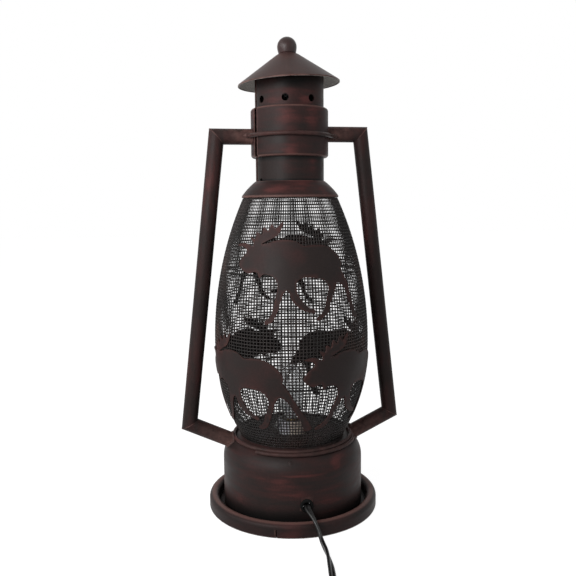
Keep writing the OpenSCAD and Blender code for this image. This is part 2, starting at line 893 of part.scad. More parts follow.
// Inside the drum, from the socket down and forward to the bushing
lead_drop = socket_low_z - outlet_h;
inner_route = [
    [0, 0, socket_low_z, 0],
    [0, 0, socket_low_z - 0.2 * lead_drop, 0],
    [0, -0.05 * outlet_y, outlet_h + 0.42 * lead_drop, 0],
    [0, -0.18 * outlet_y, outlet_h + 0.1 * lead_drop, 0],
    [0, -0.4 * outlet_y, outlet_h, 0],
    [0, -0.65 * outlet_y, outlet_h, 0],
    [0, -0.85 * outlet_y, outlet_h, 0],
    [0, -outlet_y, outlet_h, 0]
];
module inner_lead() {
    flat_cord(inner_route, [0, 0, -1], to_front, flat_section);
}

// Over the rim, down to the table and on to the switch
switch_at = [-8, -208];
switch_turn = -10;
switch_way = [sin(switch_turn), -cos(switch_turn), 0];
switch_in = switch_at - switch_len / 2 * [switch_way[0], switch_way[1]];
switch_out = switch_at + switch_len / 2 * [switch_way[0], switch_way[1]];
cord_entry_z = switch_h / 2;
lead_route = [
    [0, -outlet_y, outlet_h, 0], [0.3, -67, 20.2, 10], [1.5, -71, 18.2, 25], [3.2, -75, 15.4, 45],
    [4.8, -79.5, 11, 65], [6, -83, 6.6, 80], [6.6, -87.5, 3.8, 90], [6.8, -94, 2.8, 90],
    [6.8, -103, 2.8, 85], [6.2, -113, 2.7, 65], [5, -124, 2.3, 30], [3.4, -135, 1.7, 8],
    [1.6, -146, 1.6, 0], [-0.4, -157, 3, 0], [-1.9, -167, 6.6, 0],
    [switch_in[0], switch_in[1], cord_entry_z, 0]
];
module cord_lead() {
    flat_cord(lead_route, to_front, switch_way, flat_section);
}

// The switch: two moulded halves round a ribbed wheel that shows at one side
module at_switch() {
    translate([switch_at[0], switch_at[1], 0])
        rotate([0, 0, switch_turn])
            children();
}

switch_corner = 8;
wheel_t = 5.6;
wheel_x = switch_w / 2 + 3.4 - wheel_d / 2;
pin_d = 3;
switch_screw_y = switch_len / 2 - 15;
split_gap = 0.1;
module switch_outline() {
    half_l = switch_len / 2;
    half_w = switch_w / 2;
    square([switch_w, switch_len - 2 * switch_corner], center = true);
    square([switch_w - 2 * switch_corner, switch_len], center = true);
    for (x = [-1, 1], y = [-1, 1])
        translate([x * (half_w - switch_corner), y * (half_l - switch_corner)])
            circle(r = switch_corner, $fn = 48);
}

// Wheel well, screw hole and cord slots, cut from both halves
module switch_hollows() {
    well_h = wheel_t + 0.8;
    translate([wheel_x, 0, cord_entry_z - well_h / 2])
        cylinder(d = wheel_d + 1.2, h = well_h);
    translate([wheel_x, -wheel_d / 2 - 0.6, cord_entry_z - well_h / 2])
        cube([wheel_d, wheel_d + 1.2, well_h]);
    translate([0, switch_screw_y, 2]) cylinder(d = 3.2, h = switch_h, $fn = 32);
    translate([0, switch_screw_y, switch_h - 1.6]) cylinder(d = 6, h = 2, $fn = 32);
}

module switch_base() {
    color("#121212")
    at_switch() {
        difference() {
            linear_extrude(height = switch_h / 2 - split_gap / 2) switch_outline();
            switch_hollows();
        }
        translate([wheel_x, 0, 2]) cylinder(d = pin_d, h = switch_h - 4, $fn = 48);
    }
}

module switch_cover() {
    color("#121212")
    at_switch()
        difference() {
            translate([0, 0, switch_h / 2 + split_gap / 2])
                linear_extrude(height = switch_h / 2 - split_gap / 2) switch_outline();
            switch_hollows();
            translate([wheel_x, 0, 0])
                cylinder(d = pin_d + 2 * run_gap, h = switch_h - 2 + run_gap, $fn = 48);
        }
}

module switch_wheel() {
    color("#181818")
    at_switch()
        translate([wheel_x, 0, cord_entry_z - wheel_t / 2])
            difference() {
                linear_extrude(height = wheel_t)
                    polygon([for (i = [0 : 2 * wheel_ribs - 1])
                        let (a = i * 180 / wheel_ribs, r = wheel_d / 2 - (i % 2) * 0.7)
                        [r * cos(a), r * sin(a)]]);
                translate([0, 0, -past])
                    cylinder(d = pin_d + 2 * run_gap, h = wheel_t + 2 * past, $fn = 48);
            }
}

module switch_screw() {
    color("#9c9c98")
    at_switch()
        translate([0, switch_screw_y, 0])
            difference() {
                union() {
                    translate([0, 0, 3]) cylinder(d = 3.1, h = switch_h - 4, $fn = 32);
                    translate([0, 0, switch_h - 1.5]) cylinder(d = 5.6, h = 1.3, $fn = 32);
                }
                translate([-3, -0.4, switch_h - 0.8]) cube([6, 0.8, 2]);
            }
}

// The spare cord is wound into a coil on its edge: one layer winds in,
// the next winds out on top of it
coil_at = [15, -286];
coil_turns = 8;
coil_rings = 24;
coil_out_r = 35;
coil_step = 3.3;
coil_out_shift = 1;
coil_layer = 6;
coil_low_z = cord_w / 2 + 0.1;
coil_half = coil_turns / 2;
climb_from = coil_half - 0.25;
climb_to = coil_half + 0.25;
function wind_in(t) = coil_out_r - coil_step * t;
function wind_out(t) = wind_in(2 * coil_half - t) + coil_out_shift;
swing_to = coil_half + 0.8;
function swing_out(f) = wind_in(climb_to) + (wind_out(swing_to) - wind_in(climb_to)) * f;
function coil_r(t) =
    t < climb_to ? wind_in(t) :
    t < swing_to ? swing_out((t - climb_to) / (swing_to - climb_to)) :
    wind_out(t);
function coil_z(t) =
    coil_low_z + coil_layer * max(0, min(1, (t - climb_from) / (climb_to - climb_from)));
function coil_point(t) = [
    coil_at[0] - coil_r(t) * cos(360 * t),
    coil_at[1] - coil_r(t) * sin(360 * t),
    coil_z(t), 90
];
coil_start = coil_point(0);
coil_end = coil_point(coil_turns);
coil_run_in = [coil_start[0], coil_start[1] + cord_w, coil_start[2], 90];
coil_run_out = [coil_end[0], coil_end[1] - cord_w, coil_end[2], 90];
coil_route = concat(
    [coil_run_in],
    [for (i = [0 : coil_turns * coil_rings]) coil_point(i / coil_rings)],
    [coil_run_out]
);
module cord_coil() {
    flat_cord(coil_route, to_front, to_front, coil_section);
}

// Least gap between neighbouring turns, from the corners of rings at the same bearing
function ring_at(i) =
    cord_ring(coil_route[i], heading(coil_route, i, to_front, to_front), coil_section);
function ring_gap(a, b) = min([for (p = a, q = b) norm(p - q)]);
coil_gap = min([
    for (i = [1 : coil_rings * (coil_turns - 1) + 1], k = [1 : coil_turns])
        let (j = i + k * coil_rings)
        if (j <= coil_turns * coil_rings + 1) ring_gap(ring_at(i), ring_at(j))
]);
echo("least gap of the coil to itself", coil_gap);

// From the switch to the coil, turning onto its edge
link_route = [
    [switch_out[0], switch_out[1], cord_entry_z, 0], [-14.6, -243, 7.6, 8], [-16.5, -251, 5, 30],
    [-18.3, -259.5, 3.4, 60], [-19.5, -268, 2.9, 84], coil_run_in
];
module cord_link() {
    flat_cord(link_route, switch_way, to_front, flat_section);
}

// Off the top of the coil, down to the table and round to the plug
plug_at = [-62, -286];
plug_entry_z = plug_t / 2;
tail_route = [
    coil_run_out, [-21.3, -300, 8.6, 90], [-22.4, -308, 7, 90], [-25.6, -316, 4.6, 90],
    [-31.5, -322.5, 3.1, 88], [-40, -325.5, 2.8, 80], [-49, -323, 2.6, 60], [-56, -316, 2.4, 30],
    [-60.5, -307, 3, 10], [-62, -297, 5.2, 0], [plug_at[0], plug_at[1], plug_entry_z, 0]
];
module cord_tail() {
    flat_cord(tail_route, to_front, to_back, flat_section);
}

// A soft strap round one side of the coil
tie_w = 9;
tie_t = 0.8;
module coil_tie() {
    inner_r = coil_r(coil_half + 0.5) - cord_t / 2 - 0.8;
    outer_r = coil_r(coil_turns - 0.5) + cord_t / 2 + 0.3;
    top = coil_low_z + coil_layer + cord_w / 2 + 0.4;
    color("#1a1a1a")
    translate([coil_at[0], coil_at[1], 0])
        difference() {
            translate([inner_r - tie_t, -tie_w / 2, 0])
                cube([outer_r - inner_r + 2 * tie_t, tie_w, top + tie_t]);
            translate([inner_r, -tie_w, -past])
                cube([outer_r - inner_r, 2 * tie_w, top + past]);
        }
}

// The plug lies flat with its blades to the back
plug_back_w = 13;
plug_nose = 3;
module plug_body() {
    color("#0f0f0f")
    translate([plug_at[0], plug_at[1], 0])
        linear_extrude(height = plug_t) {
            difference() {
                union() {
                    polygon([
                        [-plug_back_w / 2, 0], [plug_back_w / 2, 0],
                        [plug_w / 2, plug_len * 0.55], [plug_w / 2, plug_len],
                        [-plug_w / 2, plug_len], [-plug_w / 2, plug_len * 0.55]
                    ]);
                }
                for (s = [-1, 1])
                    translate([s * (plug_w / 2 + 5.2), plug_len * 0.62]) circle(r = 7, $fn = 48);
            }
        }
}

blade_gap = 12.7;
blade_len = 17;
blade_w = 6.35;
blade_t = 1.5;
module plug_blades() {
    color("#c8b27a")
    for (s = [-1, 1])
        translate([plug_at[0] + s * blade_gap / 2, plug_at[1] + plug_len, plug_entry_z])
            difference() {
                translate([-blade_t / 2, 0, -blade_w / 2]) cube([blade_t, blade_len, blade_w]);
                translate([-blade_t, blade_len - 4, 0])
                    rotate([0, 90, 0])
                        cylinder(d = 3.2, h = 2 * blade_t, $fn = 24);
            }
}

tray_base();
felt_ring();
drum_shell();
base_ring();
mesh_cage();
upper_hoop();
lower_hoop();
upper_moose();
lower_moose();
shoulder_skirt();
neck_tube();
collar_sleeve();
collar_wires();
left_top_arm();
left_post();
left_lower_arm();
right_top_arm();
right_post();
right_lower_arm();
cap_cone();
cap_bar();
cap_stud();
stud_nuts();
finial_ball();
socket_clip();
socket_body();
socket_sleeve();
socket_shell();
socket_contact();
bulb_glass();
bulb_base();
bulb_filament();
cord_bushing();
inner_lead();
cord_lead();
switch_base();
switch_cover();
switch_wheel();
switch_screw();
cord_link();
cord_coil();
coil_tie();
cord_tail();
plug_body();
plug_blades();
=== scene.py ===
# %% [markdown]
# # A lantern table lamp
# This lesson dresses a sheet metal lamp in the form of an old lantern: a wire cage
# with moose cut-outs, a tube frame at each side, a vented neck and a cone cap.
# The frame that is loaded first holds the lamp's exact solids. Every piece made here
# lies where its solid lies. Sizes are written in millimetres and turned into metres
# in one place, because a maker's drawing of such a lamp would be in millimetres.

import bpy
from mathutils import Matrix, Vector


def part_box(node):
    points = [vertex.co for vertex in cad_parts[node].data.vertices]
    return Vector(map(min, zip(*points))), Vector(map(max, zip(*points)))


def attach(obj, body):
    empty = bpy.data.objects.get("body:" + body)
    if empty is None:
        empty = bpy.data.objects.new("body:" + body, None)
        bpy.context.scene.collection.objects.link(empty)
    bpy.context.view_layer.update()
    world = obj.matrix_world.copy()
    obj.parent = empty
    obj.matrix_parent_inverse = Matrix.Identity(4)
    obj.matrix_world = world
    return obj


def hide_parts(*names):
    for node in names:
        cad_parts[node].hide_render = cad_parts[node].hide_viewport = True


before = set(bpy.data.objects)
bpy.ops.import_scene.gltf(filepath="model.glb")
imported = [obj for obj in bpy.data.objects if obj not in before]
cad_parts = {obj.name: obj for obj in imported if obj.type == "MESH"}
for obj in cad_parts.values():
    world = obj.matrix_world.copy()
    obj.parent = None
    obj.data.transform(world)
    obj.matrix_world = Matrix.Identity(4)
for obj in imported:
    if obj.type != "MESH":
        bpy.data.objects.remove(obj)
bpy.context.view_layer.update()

# %% The tools of the lesson
import math

import bmesh
import bpy
from mathutils import Matrix, Vector, noise

MM = 0.001
Z_UP = Vector((0, 0, 1))
print("Blender", bpy.app.version_string)

# %% [markdown]
# ## The camera
# The photograph was taken about 0.6 m in front of the lamp and a little to its left, from
# above half its height, so the drum is seen from above and the cap from below. A camera
# could be aimed with a constraint, but a fixed place and direction say the same thing
# in two lines and nothing moves later.

# %% Camera
CAMERA_AT, CAMERA_ROLL = Vector((-107.1, -577.8, 263.9)), math.radians(-0.55)
look_along = Vector((0.1767, 0.9771, -0.1184)).normalized()
camera_data = bpy.data.cameras.new("camera")
camera_data.lens = 42.1
camera_data.sensor_width = 36
camera = bpy.data.objects.new("camera", camera_data)
level = look_along.to_track_quat("-Z", "Y").to_matrix()
tilted = level @ Matrix.Rotation(CAMERA_ROLL, 3, "Z")
camera.matrix_world = Matrix.Translation(CAMERA_AT * MM) @ tilted.to_4x4()
bpy.context.scene.collection.objects.link(camera)
bpy.context.scene.camera = camera
print("camera looks down by", round(math.degrees(math.asin(-look_along.z)), 1), "degrees")

# %% [markdown]
# ## Meshes and finishes that all pieces share
# A piece is a list of points in millimetres and a list of faces. It could be built from
# Blender's ready forms, but points worked out from the lamp's sizes land where they
# should without being dragged. The helpers make the mesh, mark its sharp edges, note
# how worn each point is, give it its finish and hang it on the body of the lamp that
# carries it. Wear is kept on the points: paint rubs off first at an outer corner.

# %% Points and faces into an object
def link(name, points, faces):
    """A new object from points in millimetres."""
    mesh = bpy.data.meshes.new(name)
    mesh.from_pydata([Vector(p) * MM for p in points], [], faces)
    mesh.validate()
    thing = bpy.data.objects.new(name, mesh)
    bpy.context.scene.collection.objects.link(thing)
    return thing


print("points are given in units of", MM, "m")

# %% Sharp edges and wear
WELD_GAP, WEAR_FROM, WEAR_SPAN = 0.01, 14, 45


def crease(thing, angle):
    """Smooth shading, with sharp edges kept, and wear noted on the outer corners."""
    form = bmesh.new()
    form.from_mesh(thing.data)
    bmesh.ops.remove_doubles(form, verts=form.verts, dist=WELD_GAP * MM)
    bmesh.ops.recalc_face_normals(form, faces=form.faces)
    for edge in form.edges:
        edge.smooth = edge.calc_face_angle(0) < math.radians(angle)
    for face in form.faces:
        face.smooth = True
    worn = form.verts.layers.float.new("worn")
    for point in form.verts:
        bends = [e.calc_face_angle_signed(0) for e in point.link_edges if len(e.link_faces) == 2]
        sharpest = math.degrees(max(bends, default=0))
        point[worn] = max(0.0, min(1.0, (sharpest - WEAR_FROM) / WEAR_SPAN))
    form.to_mesh(thing.data)
    form.free()


print("corners show wear from", WEAR_FROM, "degrees")


# %% A finished piece
def finish_piece(thing, finish, stands_for=(), body="lamp", angle=35):
    """Sharp edges, its finish in one material slot, the solids it stands for hidden, and its body."""
    crease(thing, angle)
    thing.data.materials.clear()
    thing.data.materials.append(finish)
    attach(thing, body)
    if stands_for:
        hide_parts(*stands_for)
    print(thing.name, "-", len(thing.data.polygons), "faces")
    return thing


print("a sheet edge sharper than 35 degrees stays sharp")

# %% [markdown]
# ### Nodes for a finish
# No finish here is a photograph. Each is noise that runs through the piece, turned into
# colours, a roughness and a little relief. Noise needs no unwrapping, and a piece can be
# seen from as near as one likes.


# %% A new finish, and noise through the piece
def new_finish(name):
    """An empty node material: its nodes, its links and its main shader."""
    finish = bpy.data.materials.new(name)
    finish.use_nodes = True
    nodes, links = finish.node_tree.nodes, finish.node_tree.links
    print("finish", name)
    return finish, nodes, links, nodes["Principled BSDF"]


def grain(nodes, links, scale, detail, stretch=(1, 1, 1), offset=0.0, rough=0.5):
    """Noise in the piece's own space. scale is in waves a metre."""
    place = nodes.new("ShaderNodeTexCoord")
    lay = nodes.new("ShaderNodeMapping")
    lay.inputs["Scale"].default_value = stretch
    lay.inputs["Location"].default_value = (offset, offset * 0.7, offset * 1.3)
    cloud = nodes.new("ShaderNodeTexNoise")
    cloud.inputs["Scale"].default_value = scale
    cloud.inputs["Detail"].default_value = detail
    cloud.inputs["Roughness"].default_value = rough
    links.new(place.outputs["Object"], lay.inputs["Vector"])
    links.new(lay.outputs["Vector"], cloud.inputs["Vector"])
    return cloud.outputs["Fac"]


print("noise helper ready")


# %% Colours and relief from a value
def ramp(nodes, links, value, *steps):
    """Colours or greys along a value: each step is (place, colour)."""
    band = nodes.new("ShaderNodeValToRGB")
    marks = band.color_ramp.elements
    marks.remove(marks[1])
    marks[0].position, marks[0].color = steps[0][0], (*steps[0][1], 1)
    for place, colour in steps[1:]:
        marks.new(place).color = (*colour, 1)
    links.new(value, band.inputs["Fac"])
    return band.outputs["Color"]


def grey(level):
    return (level, level, level)


def bump(nodes, links, shader, height, depth, strength):
    """Small height on the surface. depth is in metres."""
    rise = nodes.new("ShaderNodeBump")
    rise.inputs["Strength"].default_value = strength
    rise.inputs["Distance"].default_value = depth
    links.new(height, rise.inputs["Height"])
    links.new(rise.outputs["Normal"], shader.inputs["Normal"])


print("colour and relief helpers ready")

# %% [markdown]
# ## The cord
# A lamp of this size has about 1.8 m of flat two-core cord, 5.4 mm wide and 2.7 mm
# thick, with a switch on it and a plug on its end. It leaves through a bushing in the
# drum, rides over the tray's rim and lies on the table. What the photograph doesn't
# show is wound up in front of the lamp, on edge, in two layers. The cord could be a
# curve with a bevel, but a flat cord turns from lying flat to standing on its edge, so
# it is a mesh: one ring of points after another, each with its own roll.

# %% Smooth way through the drawn points
def smooth_way(points, steps):
    """A Catmull-Rom line through points of any number of values."""
    line = []
    for i in range(len(points) - 1):
        a, b, c, d = (points[max(0, min(len(points) - 1, i + k))] for k in (-1, 0, 1, 2))
        for s in range(steps):
            t = s / steps
            line.append([
                0.5 * (2 * q + (r - p) * t + (2 * p - 5 * q + 4 * r - u) * t * t
                       + (3 * q - p - 3 * r + u) * t ** 3)
                for p, q, r, u in zip(a, b, c, d)
            ])
    return line + [list(points[-1])]


def way_length(way):
    return sum((Vector(q[:3]) - Vector(p[:3])).length for p, q in zip(way, way[1:]))


print("a cord's points are joined by smooth steps")

# %% The cord's section: two round cores side by side, with a groove between them
CORD_W, CORD_T, GROOVE = 5.4, 2.7, 0.62
lobe = CORD_T / 2
cord_section = [(lobe + lobe * math.cos(math.radians(a)), lobe * math.sin(math.radians(a)))
                for a in range(-115, 116, 23)]
cord_section.append((0, lobe * GROOVE))
cord_section += [(-x, y) for x, y in reversed(cord_section[:-1])]
cord_section.append((0, -lobe * GROOVE))
print("cord", CORD_W, "by", CORD_T, "mm,", len(cord_section), "points round it")


# %% The cord's rings of points
def cord_form(name, way, first, last):
    """A flat cord along [x, y, z, roll], standing on its edge where the roll is 90."""
    points, faces = [], []
    n = len(cord_section)
    for i, (x, y, z, roll) in enumerate(way):
        ahead = Vector(way[min(i + 1, len(way) - 1)][:3]) - Vector(way[max(i - 1, 0)][:3])
        if i == 0:
            ahead = Vector(first)
        elif i == len(way) - 1:
            ahead = Vector(last)
        ahead.normalize()
        side = Vector((-1, 0, 0)) if ahead.z < -0.99 else ahead.cross(Z_UP).normalized()
        up = side.cross(ahead)
        c, s = math.cos(math.radians(roll)), math.sin(math.radians(roll))
        for a, b in cord_section:
            points.append(Vector((x, y, z)) + side * (a * c - b * s) + up * (a * s + b * c))
    for i in range(len(way) - 1):
        for k in range(n):
            faces.append((i * n + k, (i + 1) * n + k, (i + 1) * n + (k + 1) % n, i * n + (k + 1) % n))
    faces += [tuple(range(n)), tuple(range(len(way) * n - 1, len(way) * n - n - 1, -1))]
    return link(name, points, faces)


print("a cord stands on its edge where its roll is 90 degrees")

# %% [markdown]
# ### The cord's black vinyl
# The jacket is soft black vinyl with a satin sheen. One flat black would look like a
# hole in the picture, so handling is shown: a little grey in patches, duller there, and
# a fine grain that keeps the shine from being even.

# %% Vinyl
cord_vinyl, nodes, links, shader = new_finish("cord_vinyl")
dust = grain(nodes, links, 90, detail=5)
links.new(ramp(nodes, links, dust, (0.35, (0.003, 0.003, 0.003)), (0.75, (0.01, 0.0095, 0.0095))),
          shader.inputs["Base Color"])
links.new(ramp(nodes, links, dust, (0.3, grey(0.3)), (0.7, grey(0.45))), shader.inputs["Roughness"])
shader.inputs["Specular IOR Level"].default_value = 0.3
bump(nodes, links, shader, grain(nodes, links, 1400, detail=2), 0.00004, 0.5)

# %% [markdown]
# ### From the bushing to the switch
# The cord leaves the bushing level and sags, turns on its edge to pass over the tray's
# rim, and lies flat on the table up to the switch. A simulated rope would find such a
# way by itself, but here its points are given one by one, to follow the photograph.

# %% From the drum to the switch
lead_points = [
    [0, -64, 21.6, 0], [0.3, -67, 20.2, 10], [1.5, -71, 18.2, 25], [3.2, -75, 15.4, 45],
    [4.8, -79.5, 11, 65], [6, -83, 6.6, 80], [6.6, -87.5, 3.8, 90], [6.8, -94, 2.8, 90],
    [6.8, -103, 2.8, 85], [6.2, -113, 2.7, 65], [5, -124, 2.3, 30], [3.4, -135, 1.7, 8],
    [1.6, -146, 1.6, 0], [-0.4, -157, 3, 0], [-1.9, -167, 6.6, 0], [-2.964, -179.44, 8.5, 0],
]
SWITCH_AT, SWITCH_TURN = Vector((-8, -208, 0)), math.radians(-10)
switch_way = (math.sin(SWITCH_TURN), -math.cos(SWITCH_TURN), 0)
lead_way = smooth_way(lead_points, 4)
lead_cord = cord_form("lead_cord", lead_way, (0, -1, 0), switch_way)
finish_piece(lead_cord, cord_vinyl, ["cord_lead"], angle=50)

# %% [markdown]
# ### The wound cord
# The rest of the cord is wound on its edge: one layer winds in on the table and the next
# winds out on top of it. A coil could be one ring copied, but a real one is a single
# cord, so its place after any number of turns comes from one rule.

# %% The coil's rule
COIL_AT, COIL_TURNS = (15, -286), 8
COIL_OUT_R, COIL_STEP, COIL_SHIFT, COIL_LAYER = 35, 3.3, 1, 6
COIL_LOW_Z = CORD_W / 2 + 0.1


def coil_point(t):
    """A place on the coil after t turns: in on the table, then out on top."""
    half = COIL_TURNS / 2
    in_until, out_from = half + 0.25, half + 0.8
    if t < in_until:
        r = COIL_OUT_R - COIL_STEP * t
    elif t < out_from:
        start = COIL_OUT_R - COIL_STEP * in_until
        stop = COIL_OUT_R - COIL_STEP * (COIL_TURNS - out_from) + COIL_SHIFT
        r = start + (stop - start) * (t - in_until) / (out_from - in_until)
    else:
        r = COIL_OUT_R - COIL_STEP * (COIL_TURNS - t) + COIL_SHIFT
    climb = max(0, min(1, (t - half + 0.25) / 0.5))
    a = 2 * math.pi * t
    return [COIL_AT[0] - r * math.cos(a), COIL_AT[1] - r * math.sin(a), COIL_LOW_Z + COIL_LAYER * climb, 90]


TURN_STEPS = 40
coil_way = [coil_point(i / TURN_STEPS) for i in range(COIL_TURNS * TURN_STEPS + 1)]
print("coil of", COIL_TURNS, "turns,", round(way_length(coil_way)), "mm long")

# %% From the switch through the coil to the plug
coil_in, coil_out = coil_way[0], coil_way[-1]
run_in = [coil_in[0], coil_in[1] + CORD_W, coil_in[2], 90]
run_out = [coil_out[0], coil_out[1] - CORD_W, coil_out[2], 90]
link_points = [
    [-13.036, -236.56, 8.5, 0], [-14.6, -243, 7.6, 8], [-16.5, -251, 5, 30],
    [-18.3, -259.5, 3.4, 60], [-19.5, -268, 2.9, 84], run_in,
]
tail_points = [
    run_out, [-21.3, -300, 8.6, 90], [-22.4, -308, 7, 90], [-25.6, -316, 4.6, 90],
    [-31.5, -322.5, 3.1, 88], [-40, -325.5, 2.8, 80], [-49, -323, 2.6, 60],
    [-56, -316, 2.4, 30], [-60.5, -307, 3, 10], [-62, -297, 5.2, 0], [-62, -286, 6.5, 0],
]
wound_way = smooth_way(link_points, 4) + coil_way + smooth_way(tail_points, 4)
wound_cord = cord_form("wound_cord", wound_way, switch_way, (0, 1, 0))
finish_piece(wound_cord, cord_vinyl, ["cord_link", "cord_coil", "cord_tail"], angle=50)

# %% [markdown]
# ## Floor and light
# The lamp stands on white. Half of the floor's look is plain paint, which keeps the
# shadow, and the other half glows for the camera and for reflections, so that the floor
# ends as white. Where the floor is shut in, as inside the drum, an occlusion node puts
# the glow out. Two large soft lamps stand far to the left and to the right, and a small
# one stands near the lantern at its front left, because the photograph's cap and tubes
# are lit from there while the drum stays dark.

# %% Adding and multiplying values
def sums(nodes, links, way, first, second):
    """One sum of two values, each of them a node's output or a number."""
    node = nodes.new("ShaderNodeMath")
    node.operation = way
    node.use_clamp = way == "MULTIPLY"
    for socket, value in zip(node.inputs, (first, second)):
        if hasattr(value, "is_linked"):
            links.new(value, socket)
        else:
            socket.default_value = value
    return node.outputs["Value"]


print("products are kept between 0 and 1")

# %% White floor
FLOOR_HALF, FLOOR_DROP, FLOOR_GLOW, SHUT_IN = 6, 0.0002, 1.86, 0.08
floor_data = bpy.data.meshes.new("floor")
corners = [(x * FLOOR_HALF, y * FLOOR_HALF, 0) for x, y in ((-1, -1), (1, -1), (1, 1), (-1, 1))]
floor_data.from_pydata(corners, [], [(0, 1, 2, 3)])
floor = bpy.data.objects.new("floor", floor_data)
floor.location.z = -FLOOR_DROP
bpy.context.scene.collection.objects.link(floor)
floor_white, nodes, links, shader = new_finish("floor_white")
shader.inputs["Base Color"].default_value = (0.6, 0.6, 0.6, 1)
shader.inputs["Roughness"].default_value = 0.9
shader.inputs["Specular IOR Level"].default_value = 0.0
glow = nodes.new("ShaderNodeEmission")
glow.inputs["Strength"].default_value = FLOOR_GLOW
rays = nodes.new("ShaderNodeLightPath")
mix = nodes.new("ShaderNodeMixShader")
shut_in = nodes.new("ShaderNodeAmbientOcclusion")
shut_in.inputs["Distance"].default_value = SHUT_IN
open_floor = ramp(nodes, links, shut_in.outputs["AO"], (0.1, grey(0)), (0.45, grey(0.5)))
seen = sums(nodes, links, "MAXIMUM", rays.outputs["Is Camera Ray"], rays.outputs["Is Glossy Ray"])
links.new(sums(nodes, links, "MULTIPLY", seen, open_floor), mix.inputs["Fac"])
links.new(shader.outputs["BSDF"], mix.inputs[1])
links.new(glow.outputs["Emission"], mix.inputs[2])
links.new(mix.outputs["Shader"], nodes["Material Output"].inputs["Surface"])
floor_data.materials.append(floor_white)
print("floor", floor.dimensions.x, "m wide")

# %% World: white to the camera and in reflections, and a low even light on the lamp
ROOM_LIGHT = 0.24
world = bpy.data.worlds.new("soft_room")
bpy.context.scene.world = world
world.use_nodes = True
nodes, links = world.node_tree.nodes, world.node_tree.links
room, white = nodes["Background"], nodes.new("ShaderNodeBackground")
room.inputs["Color"].default_value = (1, 1, 1, 1)
room.inputs["Strength"].default_value = ROOM_LIGHT
rays, mix = nodes.new("ShaderNodeLightPath"), nodes.new("ShaderNodeMixShader")
seen = sums(nodes, links, "MAXIMUM", rays.outputs["Is Camera Ray"], rays.outputs["Is Transmission Ray"])
seen = sums(nodes, links, "MAXIMUM", seen, rays.outputs["Is Glossy Ray"])
links.new(seen, mix.inputs["Fac"])
links.new(room.outputs["Background"], mix.inputs[1])
links.new(white.outputs["Background"], mix.inputs[2])
white.inputs["Color"].default_value = (1, 1, 1, 1)
links.new(mix.outputs["Shader"], nodes["World Output"].inputs["Surface"])
print("even light", ROOM_LIGHT)


# %% Soft lamps
def soft_lamp(name, at, towards, size, power):
    """A square lamp that shines at a point. Places are in metres."""
    data = bpy.data.lights.new(name, "AREA")
    data.shape, data.size, data.energy = "SQUARE", size, power
    lamp = bpy.data.objects.new(name, data)
    lamp.location = at
    lamp.rotation_euler = (Vector(towards) - Vector(at)).to_track_quat("-Z", "Y").to_euler()
    bpy.context.scene.collection.objects.link(lamp)
    return lamp


soft_lamp("left_lamp", (-1.3, -0.3, 0.8), (0, 0, 0.2), 0.9, 10)
soft_lamp("right_lamp", (1.2, -0.9, 0.8), (0, 0, 0.2), 0.8, 2)
soft_lamp("near_lamp", (-0.38, -0.44, 0.44), (0, 0, 0.3), 0.3, 3.2)
bpy.context.scene.view_settings.view_transform = "Standard"

# %% [markdown]
# ## Measures taken from the frame
# The solids already hold the lamp's sizes, so the pieces ask the frame for them. Only
# what a box can't tell, such as the radius of a rounded corner, is written here.

# %% Reach and heights of the solids, in millimetres
def reach(node):
    """Largest distance from the lamp's axis along X."""
    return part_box(node)[1][0] / MM


def low(node):
    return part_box(node)[0][2] / MM


def high(node):
    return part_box(node)[1][2] / MM


SHEET = 0.8
TRAY_R, RIM_TOP, RIM_LOW, RIM_W = reach("tray_base"), high("tray_base"), low("tray_base"), 9
FELT_T = high("felt_ring")
DRUM_R, DRUM_TOP, SHOULDER_R = reach("drum_shell"), high("drum_shell"), 20
CAGE_R, CAGE_LOW_Z, CAGE_TOP_Z = reach("mesh_cage"), low("mesh_cage"), high("mesh_cage")
CAGE_LOW_R, CAGE_TOP_R, CAGE_WIDE_Z = 46, 39.8, 148
SKIRT_R, SKIRT_LOW, SKIRT_TOP = reach("shoulder_skirt"), low("shoulder_skirt"), high("shoulder_skirt")
NECK_R, NECK_LOW, NECK_TOP = 29.2, low("neck_tube"), high("neck_tube")
COLLAR_R, COLLAR_LOW, COLLAR_TOP = reach("collar_sleeve"), low("collar_sleeve"), high("collar_sleeve")
print("tray", TRAY_R, "drum", DRUM_R, DRUM_TOP, "cage", CAGE_R, CAGE_TOP_Z, "collar", COLLAR_R)

# %% [markdown]
# ## The bronze finish
# All the sheet, tube and wire is painted a satin brown-black and then rubbed by hand
# with a rust red that stays in soft patches, while edges are rubbed to a dull pinkish
# brown. A photograph of rust would have to be wrapped on each piece. Layers of noise in
# the piece's own space need no wrapping, and they run on from one side to the other:
# large clouds choose where the red lies, a stretched cloud gives it the sideways strokes
# of the cloth, and fine grain keeps the sheen from being even.
# The same finish also carries painted light: near-black painted shade where parts shade each other, a painted
# highlight along some rims, and, on the neck and collar, red patches down the front that are partly painted
# sheen.

# %% Mixed colours and wear
def blend_colours(nodes, links, share, first, second, way="MIX"):
    """Two colours mixed by a share, each of them a node's output or a plain colour."""
    mix = nodes.new("ShaderNodeMix")
    mix.data_type = "RGBA"
    mix.blend_type = way
    for socket, value in ((mix.inputs[0], share), (mix.inputs[6], first), (mix.inputs[7], second)):
        if hasattr(value, "is_linked"):
            links.new(value, socket)
        elif isinstance(value, (int, float)):
            socket.default_value = value
        else:
            socket.default_value = (*value, 1)
    return mix.outputs[2]


def worn_edges(nodes):
    """The wear that was noted on the points."""
    note = nodes.new("ShaderNodeAttribute")
    note.attribute_name = "worn"
    return note.outputs["Fac"]


print("colour mixing ready")

# %% Paints of the bronze, and a soft patch
PAINT_DARK = (0.018, 0.0125, 0.0118)
PAINT_BROWN = (0.032, 0.0148, 0.014)
PAINT_RUST = (0.068, 0.0235, 0.022)
EDGE_BROWN = (0.15, 0.08, 0.07)
# The near black below is the colour of painted shade.
SHADE_BLACK = grey(0.004)
ALL_ROUND = 900


